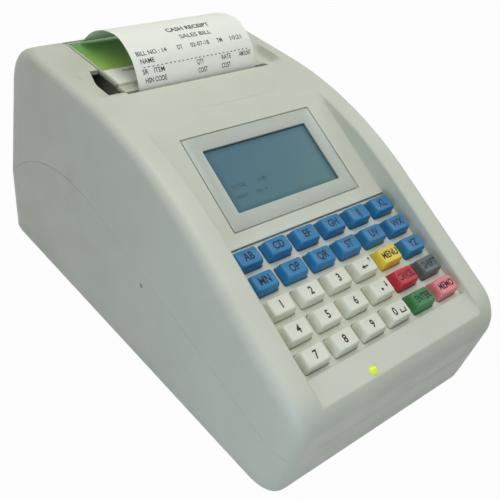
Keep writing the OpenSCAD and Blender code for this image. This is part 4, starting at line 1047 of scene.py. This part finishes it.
def labelFinish():
    # Smooth run from green at the back to lime at the front, printed; greyer to the right as painted shade under the
    # paper curl
    finish, tree, shader, place = startFinish("labelGreen", (0, 0, 0))
    spots = addNode(tree, "UVMap", (-1300, -300))
    split = addNode(tree, "SeparateXYZ", (-1100, -300), {0: spots.outputs["UV"]})
    ramp = addNode(tree, "ValToRGB", (-700, -200), {0: split.outputs[1]})
    stops = ramp.color_ramp.elements
    stops[0].position, stops[0].color = 0.02, tint(168, 206, 84)
    stops[1].position, stops[1].color = 0.98, tint(96, 162, 74)
    middle = stops.new(0.45)
    middle.color = tint(138, 190, 80)
    # Painted shade under the paper curl: the label turns greyer towards the right
    paintedCurlShade = rangeNode(tree, (-700, -400), split.outputs[0], 0.1, 0.6, 0.0, 0.35)
    paperTone = useGroup(tree, "paperFibres", (-850, 250), {"Vector": place})
    tone = mixColour(tree, (-400, 0), paintedCurlShade, ramp.outputs[0], tint(128, 164, 110))
    tree.links.new(mixColour(tree, (-200, 200), mathNode(tree, (-400, 250), "MULTIPLY", paperTone["Tone"], 0.06), tone, tint(210, 225, 190)), shader.inputs["Base Color"])
    tree.links.new(rangeNode(tree, (-200, 0), paperTone["Tone"], 0.0, 1.0, 0.26, 0.34), shader.inputs["Roughness"])
    shader.inputs["Coat Weight"].default_value = 0.25
    return finish


def buildLabels():
    f = lidVisual
    xs = [-f["labelHalf"] + k * 2 * f["labelHalf"] / 12 for k in range(13)]
    pieces = []
    for name, (back, front), finish in (("lidLabel", f["label"], labelFinish()), ("lidStrip", f["strip"], finishes["paper"])):
        ts = [front + (back - front) * k / 10 for k in range(11)]
        mesh = stripMesh(f["labelHalf"], ts, xs, lambda t: 0.02)
        bmesh.ops.solidify(mesh, geom=mesh.faces[:], thickness=-0.1 * mm)
        bmesh.ops.recalc_face_normals(mesh, faces=mesh.faces)
        if name == "lidStrip":
            part = textMesh("PAPER", 3.0, 1.0, 0.03)
            for vert in part.verts:
                spot = onCase @ lidPoint(-31.5 + vert.co.x, -38.8 + vert.co.y, 0.15)
                vert.co = spot
            joinInto(mesh, part, Matrix.Identity(4), 1)
        pieces.append(finishPiece(name, mesh, [finish, finishes["ink"]], "lid", (), 35))
    return pieces


def buildBadge():
    # Plain raised field on the crown in front of the mouth
    f = lidVisual["badge"]
    mesh = bmesh.new()
    shares = (0.0, 0.3, 0.6, 0.85, 0.975, 1.0)
    bmesh.ops.create_grid(mesh, x_segments=72, y_segments=len(shares) - 1, size=1.0)
    for vert in mesh.verts:
        angle = (vert.co.x + 1) * math.pi
        share = shares[round((vert.co.y + 1) / 2 * (len(shares) - 1))]
        c, s = math.cos(angle), math.sin(angle)
        x = f["x"] + f["half"][0] * share * math.copysign(abs(c) ** 0.5, c)
        d = f["d"] + f["half"][1] * share * math.copysign(abs(s) ** 0.5, s)
        t = (d - lidForm["hingeD"]) / math.cos(math.radians(caseForm["topAngle"]))
        vert.co = lidPoint(x, t, f["lift"] if share < 0.99 else -0.15)
    bmesh.ops.remove_doubles(mesh, verts=mesh.verts, dist=0.001)
    bmesh.ops.recalc_face_normals(mesh, faces=mesh.faces)
    if sum(face.normal.z * face.calc_area() for face in mesh.faces) < 0:
        bmesh.ops.reverse_faces(mesh, faces=mesh.faces)
    bmesh.ops.transform(mesh, matrix=onCase, verts=mesh.verts)
    return finishPiece("crownField", mesh, [finishes["shell"]], "case", (), 30)


buildLid()
buildLabels()
buildBadge()
print("lid made")

paperForm = {
    "halfWidth": 39.75, "thick": 0.12, "startT": -61.4, "reach": 61.9, "curl": 19.5,
    "curve": [(0.01, 0.06), (0.055, 0.34), (0.15, 0.69), (0.33, 0.97), (0.5, 0.96), (0.66, 0.81), (0.8, 0.57), (0.92, 0.245), (1, 0.045)],
}


def paperLine():
    # The same smooth line as the part's curl, but with more points
    f = paperForm
    knots = [(0, -7.6), (0, -3)] + [(a * f["reach"], 0.3 + b * f["curl"]) for a, b in f["curve"]]
    knots = [Vector((a + f["startT"], b)) for a, b in knots]
    line = []
    for i in range(len(knots) - 1):
        a, b, c, d = knots[max(0, i - 1)], knots[i], knots[i + 1], knots[min(len(knots) - 1, i + 2)]
        for k in range(6):
            u = k / 6
            line.append(b + (c - a) * u / 2 + (2 * a - 5 * b + 4 * c - d) * u * u / 2 + (3 * b - a - 3 * c + d) * u ** 3 / 2)
    return line + [knots[-1]]


def alongPaper(line, lengths, s, x, lift=0.0):
    s = min(max(s, 0.0), lengths[-1] - 1e-6)
    k = next(i for i in range(len(lengths) - 1) if lengths[i + 1] > s)
    ahead = (line[k + 1] - line[k]).normalized()
    spot = line[k] + ahead * (s - lengths[k])
    return Vector((x, spot.x - ahead.y * lift, spot.y + ahead.x * lift))


# letters are cut across every step mm, so that they follow the bend
paperText = {"size": 3.7, "bold": 0.055, "heading": (4.5, 0.14), "step": 0.5}
# words, middle across, middle along the sheet, width
paperWords = [
    ("CASH RECEIPT", 4, 37.6, 29), ("SALES BILL", 5.5, 31.6, 21),
    ("BILL NO : 14", -26.6, 25.3, 19), ("DT", -8.3, 25.3, 3.4), ("02-07-18", 5.1, 25.3, 12.5), ("TM", 18.8, 25.3, 3.6), ("10:21", 30.3, 25.3, 8),
    ("NAME", -31, 21, 8.6), ("- - - - - - - - - - - - - - - - - - - - - - - - - -", 0.5, 18.2, 70),
    ("SR", -34, 15.5, 3.5), ("ITEM", -25.3, 15.5, 6.6), ("QTY", 1.5, 15.5, 4.8), ("RATE", 19.6, 15.5, 6.4), ("AMOUNT", 33.2, 15.5, 8.6),
    ("HSN CODE", -28.4, 11, 13.2), ("COST", 2.2, 11, 6.4), ("COST", 18.5, 11, 6.4),
]


def buildReceipt():
    f = paperForm
    line = paperLine()
    lengths = [0.0]
    for a, b in zip(line, line[1:]):
        lengths.append(lengths[-1] + (b - a).length)
    mesh = bmesh.new()
    bmesh.ops.create_grid(mesh, x_segments=10, y_segments=len(line) - 1, size=1.0)
    for vert in mesh.verts:
        j = round((vert.co.y + 1) / 2 * (len(line) - 1))
        x = vert.co.x * f["halfWidth"]
        vert.co = alongPaper(line, lengths, lengths[j], x)
    bmesh.ops.recalc_face_normals(mesh, faces=mesh.faces)
    middle = max(mesh.faces, key=lambda face: face.calc_center_median().z)
    if middle.normal.z < 0:
        bmesh.ops.reverse_faces(mesh, faces=mesh.faces)
    bmesh.ops.solidify(mesh, geom=mesh.faces[:], thickness=-f["thick"])
    bmesh.ops.recalc_face_normals(mesh, faces=mesh.faces)
    for words, x, s, width in paperWords:
        size, bold = paperText["heading"] if words == paperWords[0][0] else (paperText["size"], paperText["bold"])
        part = textMesh(words, size, 1.0, bold)
        reach = [vert.co.x for vert in part.verts]
        bmesh.ops.scale(part, vec=(width / (max(reach) - min(reach)), 1, 1), verts=part.verts)
        low, high = min(vert.co.y for vert in part.verts), max(vert.co.y for vert in part.verts)
        for i in range(1, int((high - low) / paperText["step"]) + 1):
            bmesh.ops.bisect_plane(part, geom=part.verts[:] + part.edges[:] + part.faces[:], plane_no=(0, 1, 0),
                                   plane_co=(0, low + i * paperText["step"], 0))
        for vert in part.verts:
            vert.co = alongPaper(line, lengths, s + vert.co.y, x + vert.co.x, f["thick"] + 0.03)
        joinInto(mesh, part, Matrix.Identity(4), 1)
    bmesh.ops.transform(mesh, matrix=onTop, verts=mesh.verts)
    print("paper length", round(lengths[-1], 1), "mm")
    ink = paperFinish("paperInk", tint(74, 74, 76), tint(48, 48, 52))
    return finishPiece("paperCurl", mesh, [finishes["paper"], ink], "lid", ["receipt"], 60)


buildReceipt()
print("printed paper made")


# Inside, under and behind

def boardFinish(name, plane, top):
    # Green mask with tracks under it; what stands over the board's top is dark moulded plastic
    finish, tree, shader, place = startFinish(name, (0, 0, 0))
    tracks = useGroup(tree, "boardTracks", (-850, 250), {"Vector": place})
    up = addNode(tree, "VectorMath", (-900, -100), {0: place, 1: tuple(plane)}, operation="DOT_PRODUCT").outputs["Value"]
    over = rangeNode(tree, (-700, -100), up, top * mm, (top + 0.05) * mm)
    green = mixColour(tree, (-550, 250), tracks["Mask"], tint(24, 88, 48), tint(52, 124, 66))
    tree.links.new(mixColour(tree, (-300, 200), over, green, tint(34, 34, 37)), shader.inputs["Base Color"])
    tree.links.new(rangeNode(tree, (-300, -50), over, 0.0, 1.0, 0.3, 0.5), shader.inputs["Roughness"])
    addBump(tree, shader, tracks["Height"], 0.3, 0.00005)
    return finish


def rollFinish():
    # Layers of paper show as fine rings on the ends; the core is brown card
    centre = onTop @ Vector((0, -29.2, -45.7))
    finish, tree, shader, place = startFinish("rollPaper", tuple(centre))
    fibres = useGroup(tree, "paperFibres", (-850, 150), {"Vector": place})
    flat = addNode(tree, "VectorMath", (-900, -200), {0: place, 1: (0, 1, 1)}, operation="MULTIPLY").outputs[0]
    far = addNode(tree, "VectorMath", (-750, -200), {0: flat}, operation="LENGTH").outputs["Value"]
    layers = mathNode(tree, (-600, -200), "SINE", mathNode(tree, (-700, -300), "MULTIPLY", far, 14000.0))
    slow = mathNode(tree, (-600, -400), "SINE", mathNode(tree, (-700, -450), "MULTIPLY", far, 2600.0))
    lines = rangeNode(tree, (-450, -200), mathNode(tree, (-500, -300), "ADD", layers, slow), -2.0, 2.0)
    white = mixColour(tree, (-400, 200), fibres["Tone"], tint(240, 241, 232), tint(233, 235, 226))
    card = rangeNode(tree, (-450, -550), far, 0.00858, 0.0086)
    ringed = mixColour(tree, (-250, 200), mathNode(tree, (-300, 0), "MULTIPLY", lines, 0.12), white, tint(196, 196, 184))
    tree.links.new(mixColour(tree, (-100, 200), card, tint(150, 118, 84), ringed), shader.inputs["Base Color"])
    tree.links.new(rangeNode(tree, (-300, -50), lines, 0.0, 1.0, 0.7, 0.82), shader.inputs["Roughness"])
    addBump(tree, shader, lines, 0.3, 0.00008)
    return finish


def sleeveFinish():
    finish, tree, shader, place = startFinish("batterySleeve")
    folds = noiseNode(tree, (-850, 200), addNode(tree, "VectorMath", (-1000, 200), {0: place, 1: (0.3, 1.0, 1.0)}, operation="MULTIPLY").outputs[0], 160.0, 3.0)
    tree.links.new(mixColour(tree, (-300, 200), rangeNode(tree, (-600, 200), folds, 0.3, 0.7), tint(42, 66, 128), tint(34, 54, 112)), shader.inputs["Base Color"])
    tree.links.new(rangeNode(tree, (-300, -50), folds, 0.3, 0.7, 0.18, 0.3), shader.inputs["Roughness"])
    addBump(tree, shader, folds, 0.25, 0.0003)
    return finish


keyPlane = Vector((0, -math.sin(math.radians(deckForm["keySlope"])), math.cos(math.radians(deckForm["keySlope"]))))
displayPlane = Vector((0, -math.sin(math.radians(deckForm["displaySlope"])), math.cos(math.radians(deckForm["displaySlope"]))))
nodeFinishes = {
    "key_frame": finishes["shell"], "display_frame": finishes["darkPlastic"], "paper_well": finishes["lid"],
    "printer_chassis": finishes["sheetMetal"], "print_head": finishes["sheetMetal"], "drive_motor": finishes["steel"],
    "tear_bar": finishes["steel"], "board_spacers": finishes["brass"], "rear_sockets": finishes["darkPlastic"],
    "hinge_pin": finishes["steel"], "platen_bushings": finishes["gearWhite"], "platen_roller": finishes["rubber"],
    "platen_shaft": finishes["steel"], "platen_gear": finishes["gearWhite"], "idler_gear": finishes["gearWhite"],
    "motor_pinion": finishes["brass"], "battery_pack": sleeveFinish(),
    "main_board": boardFinish("mainBoard", Vector((0, 0, 1)), (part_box("main_board")[0][2] / mm) + 1.6),
    "key_board": boardFinish("keyBoard", keyPlane, (onKeys @ Vector((0, 0, -9.5))).dot(keyPlane) / mm),
    "display_board": boardFinish("displayBoard", displayPlane, (onDisplay @ Vector((0, 0, -7.7))).dot(displayPlane) / mm),
}


def dressNodes():
    for name, finish in nodeFinishes.items():
        node = nodes[name]
        if not node.material_slots:
            node.data.materials.append(finish)
        for slot in node.material_slots:
            slot.material = finish


dressNodes()


def buildEars():
    mesh = bmesh.new()
    for side in (-1, 1):
        low, high = sorted((side * 41.65, side * 50.5))
        addSpun(mesh, [(1.52, low), (3.6, low), (3.6, high), (1.52, high), (1.52, low)], (0, 0, -6.5), "x", 32)
        low, high = sorted((side * 47.8, side * 52.7))
        addBox(mesh, (low, -5, -11.5), (high, 5, -2.3), 0.5, 2)
    bmesh.ops.transform(mesh, matrix=onTop, verts=mesh.verts)
    return finishPiece("hingeEars", mesh, [finishes["shell"]], "case")


def buildFeet():
    mesh = bmesh.new()
    profile = [(0, -2), (4.6, -2), (4.9, -1.75), (5.3, -1.75), (5.6, -2), (6.5, -2), (6.85, -1.85), (7, -1.5), (7, -0.1), (6.9, 0.0), (6.9, 0.4), (0, 0.4)]
    for x in (-52, 52):
        for d in (22, 258):
            addSpun(mesh, profile, (x, d, 0), "z", 40)
    bmesh.ops.transform(mesh, matrix=onCase, verts=mesh.verts)
    return finishPiece("rubberFeet", mesh, [finishes["rubber"]], "case", ["rubber_feet"], 40)


def buildScrews():
    mesh = bmesh.new()
    for x, d in lowerForm["screws"]:
        # Round head with a six-sided socket, seen from below, and its shank
        head = bmesh.new()
        outer = bmesh.ops.create_circle(head, segments=24, radius=2.5, cap_ends=False)["verts"]
        outerEdges = list({e for v in outer for e in v.link_edges})
        inner = bmesh.ops.create_circle(head, segments=6, radius=1.3, cap_ends=False)["verts"]
        innerEdges = list({e for v in inner for e in v.link_edges})
        bmesh.ops.bridge_loops(head, edges=outerEdges + innerEdges)
        made = bmesh.ops.extrude_edge_only(head, edges=innerEdges)["geom"]
        bmesh.ops.translate(head, vec=(0, 0, 1.2), verts=[g for g in made if isinstance(g, bmesh.types.BMVert)])
        bmesh.ops.edgeloop_fill(head, edges=[g for g in made if isinstance(g, bmesh.types.BMEdge)])
        edges = outerEdges
        for radius, z in ((2.85, 0.15), (3.0, 0.5), (3.0, 2.2), (1.6, 2.2), (1.6, 12.0)):
            made = bmesh.ops.extrude_edge_only(head, edges=edges)["geom"]
            edges = [g for g in made if isinstance(g, bmesh.types.BMEdge)]
            for vert in (g for g in made if isinstance(g, bmesh.types.BMVert)):
                out = Vector((vert.co.x, vert.co.y)).normalized() * radius
                vert.co = Vector((out.x, out.y, z))
        bmesh.ops.edgeloop_fill(head, edges=edges)
        bmesh.ops.recalc_face_normals(head, faces=head.faces)
        joinInto(mesh, head, Matrix.Translation((x, d, 6.8)))
    bmesh.ops.transform(mesh, matrix=onCase, verts=mesh.verts)
    return finishPiece("caseScrews", mesh, [finishes["steel"]], "case", ["case_screws"], 35)


def buildRoll():
    mesh = bmesh.new()
    profile = [(6.2, -39.75), (8.5, -39.75), (8.7, -39.6), (23.7, -39.6), (24, -39.4), (24, 39.4), (23.7, 39.6), (8.7, 39.6), (8.5, 39.75), (6.2, 39.75), (6.2, -39.75)]
    addSpun(mesh, profile, (0, -29.2, -45.7), "x", 64)
    bmesh.ops.transform(mesh, matrix=onTop, verts=mesh.verts)
    return finishPiece("paperRoll", mesh, [rollFinish()], "roll", ["paper_roll"], 30)


rockerForm = {"at": (-42, 274.704, 22), "tilt": 8, "halfWidth": 4.6, "line": [(-2.5, -6.4), (3.3, -7.5), (2.75, -4.5), (2.4, -1.6), (2.35, 0), (2.4, 1.6), (2.75, 4.5), (3.3, 7.5), (-2.5, 6.4), (-4.4, 0)]}


def buildRocker():
    f = rockerForm
    mesh = bmesh.new()
    verts = bmesh.ops.create_circle(mesh, segments=len(f["line"]), radius=1.0, cap_ends=True)["verts"]
    for vert, (d, z) in zip(verts, f["line"]):
        vert.co = Vector((-f["halfWidth"], d, z))
    made = bmesh.ops.extrude_face_region(mesh, geom=mesh.faces[:])["geom"]
    bmesh.ops.translate(mesh, vec=(2 * f["halfWidth"], 0, 0), verts=[g for g in made if isinstance(g, bmesh.types.BMVert)])
    bmesh.ops.recalc_face_normals(mesh, faces=mesh.faces)
    bevelEdges(mesh, [e for e in mesh.edges if e.calc_face_angle(0) > 0.5], 0.35, 2)
    # A bar and a ring mark the two ends of the rocker
    mark = bmesh.new()
    addBox(mark, (-0.35, 3.02, 3.6), (0.35, 3.12, 6.2))
    ring = bmesh.ops.create_circle(mark, segments=24, radius=1.25, cap_ends=False)["verts"]
    inner = bmesh.ops.create_circle(mark, segments=24, radius=0.85, cap_ends=False)["verts"]
    made = bmesh.ops.bridge_loops(mark, edges=list({e for v in ring + inner for e in v.link_edges}))
    lean = Matrix.Translation((0, 2.98, -4.9)) @ Matrix.Rotation(math.radians(90 + 9), 4, "X")
    bmesh.ops.transform(mark, matrix=lean, verts=ring + inner)
    joinInto(mesh, mark, Matrix.Identity(4), 1)
    x, d, z = f["at"]
    bmesh.ops.transform(mesh, matrix=onCase @ Matrix.Translation((x, d, z)) @ Matrix.Rotation(math.radians(f["tilt"]), 4, "X"), verts=mesh.verts)
    white = plasticFinish("markWhite", tint(232, 232, 226), tint(224, 224, 216), smudge=0.1, depth=0.1, roughness=0.45)
    return finishPiece("powerRocker", mesh, [finishes["darkPlastic"], white], "rocker", ["power_rocker"], 40)


def buildContacts():
    mesh = bmesh.new()
    for k in range(8):
        x = 26 + (k - 3.5) * 0.95
        addBox(mesh, (x - 0.22, 268.2, 24.6), (x + 0.22, 275.5, 24.9), 0.1, 1)
    bmesh.ops.transform(mesh, matrix=onCase, verts=mesh.verts)
    return finishPiece("socketContacts", mesh, [finishes["brass"]], "case")


def buildHeadStrip():
    # Dark ceramic strip with its row of heating dots, on the face of the print head
    mesh = bmesh.new()
    addBox(mesh, (-40.2, -61.55, -13.4), (40.2, -61.45, -9.0), 0.03, 1)
    for k in range(40):
        part = bmesh.new()
        x = -38.0 + k * 76 / 39
        addBox(part, (x - 0.45, -61.44, -10.4), (x + 0.45, -61.42, -10.15))
        joinInto(mesh, part, Matrix.Identity(4), 1)
    bmesh.ops.transform(mesh, matrix=onTop, verts=mesh.verts)
    return finishPiece("headStrip", mesh, [finishes["darkPlastic"], finishes["brass"]], "case")


buildEars()
buildFeet()
buildScrews()
buildRoll()
buildRocker()
buildContacts()
buildHeadStrip()
print("inner pieces made")


# Studio: floor, world, lights and camera

studio = {
    "floorTone": (0.3, 0.3, 0.3, 1), "floorGlow": 0.975, "worldTone": (0.97, 0.99, 1.0, 1), "skyLow": 0.14, "skyHigh": 0.44,
    # power, place, size and tone of each soft lamp
    "lamps": {
        "topLamp": (7.5, (0.15, 0.1, 1.6), 1.0, (1.0, 0.99, 0.97)),
        "frontLamp": (3.5, (-0.4, -0.3, 1.5), 1.0, (1.0, 0.99, 0.96)),
        "rightLamp": (3.2, (1.3, 0.0, 0.9), 0.8, (0.86, 0.95, 1.0)),
        "nearLamp": (0.52, (-0.36, -0.3, 0.1), 0.25, (0.64, 0.82, 1.0)),
    },
}


def makeStage():
    mesh = bmesh.new()
    bmesh.ops.create_grid(mesh, x_segments=1, y_segments=1, size=6.0)
    data = bpy.data.meshes.new("floor")
    mesh.to_mesh(data)
    mesh.free()
    floor = bpy.data.objects.new("floor", data)
    bpy.context.scene.collection.objects.link(floor)
    finish = bpy.data.materials.new("floorWhite")
    finish.use_nodes = True
    tree = finish.node_tree
    tree.nodes.clear()
    out = addNode(tree, "OutputMaterial", (600, 0))
    matt = addNode(tree, "BsdfDiffuse", (0, -100), {"Color": studio["floorTone"]})
    glow = addNode(tree, "Emission", (0, 100), {"Color": (1, 1, 1, 1), "Strength": 1.0})
    path = addNode(tree, "LightPath", (-400, 300))
    seen = mathNode(tree, (-200, 300), "MAXIMUM", path.outputs["Is Camera Ray"], path.outputs["Is Glossy Ray"])
    seen = mathNode(tree, (-50, 300), "MAXIMUM", seen, path.outputs["Is Transmission Ray"])
    part = mathNode(tree, (100, 300), "MULTIPLY", seen, studio["floorGlow"])
    both = addNode(tree, "MixShader", (300, 0), {0: part, 1: matt.outputs[0], 2: glow.outputs[0]})
    tree.links.new(both.outputs[0], out.inputs["Surface"])
    data.materials.append(finish)

    world = bpy.data.worlds.new("studioWorld")
    bpy.context.scene.world = world
    world.use_nodes = True
    tree = world.node_tree
    tree.nodes.clear()
    out = addNode(tree, "OutputWorld", (600, 0))
    path = addNode(tree, "LightPath", (-400, 300))
    seen = mathNode(tree, (-200, 300), "MAXIMUM", path.outputs["Is Camera Ray"], path.outputs["Is Transmission Ray"])
    plain = addNode(tree, "Background", (0, 100), {"Color": (1, 1, 1, 1), "Strength": 1.0})
    # The sky is brighter overhead than near the ground
    way = addNode(tree, "SeparateXYZ", (-600, -200), {0: addNode(tree, "TexCoord", (-800, -200)).outputs["Generated"]})
    sky = rangeNode(tree, (-300, -200), way.outputs[2], 0.0, 1.0, studio["skyLow"], studio["skyHigh"])
    light = addNode(tree, "Background", (0, -100), {"Color": studio["worldTone"], "Strength": sky})
    both = addNode(tree, "MixShader", (300, 0), {0: seen, 1: light.outputs[0], 2: plain.outputs[0]})
    tree.links.new(both.outputs[0], out.inputs["Surface"])

    for name, (power, spot, size, tone) in studio["lamps"].items():
        lamp = bpy.data.lights.new(name, "AREA")
        lamp.energy, lamp.shape, lamp.size, lamp.color = power, "DISK", size, tone
        holder = bpy.data.objects.new(name, lamp)
        bpy.context.scene.collection.objects.link(holder)
        holder.location = spot
        holder.rotation_euler = (Vector((0, 0, 0.08)) - Vector(spot)).to_track_quat("-Z", "Y").to_euler()


cameraForm = {
    "spot": (-0.23162, -0.26346, 0.28370), "lens": 51.65,
    "right": (0.76737, -0.63310, 0.10168), "down": (-0.30477, -0.49964, -0.81085), "ahead": (0.56415, 0.59123, -0.57635),
}


def makeCamera():
    lens = bpy.data.cameras.new("camera")
    lens.sensor_width, lens.lens, lens.sensor_fit = 36.0, cameraForm["lens"], "HORIZONTAL"
    lens.clip_start, lens.clip_end = 0.01, 30.0
    camera = bpy.data.objects.new("camera", lens)
    bpy.context.scene.collection.objects.link(camera)
    right, down, ahead = (Vector(cameraForm[k]).normalized() for k in ("right", "down", "ahead"))
    turned = Matrix((right, -down, -ahead)).transposed().to_4x4()
    camera.matrix_world = Matrix.Translation(Vector(cameraForm["spot"])) @ turned
    bpy.context.scene.camera = camera


makeStage()
makeCamera()
bpy.context.scene.view_settings.view_transform = "Standard"
print("studio made")
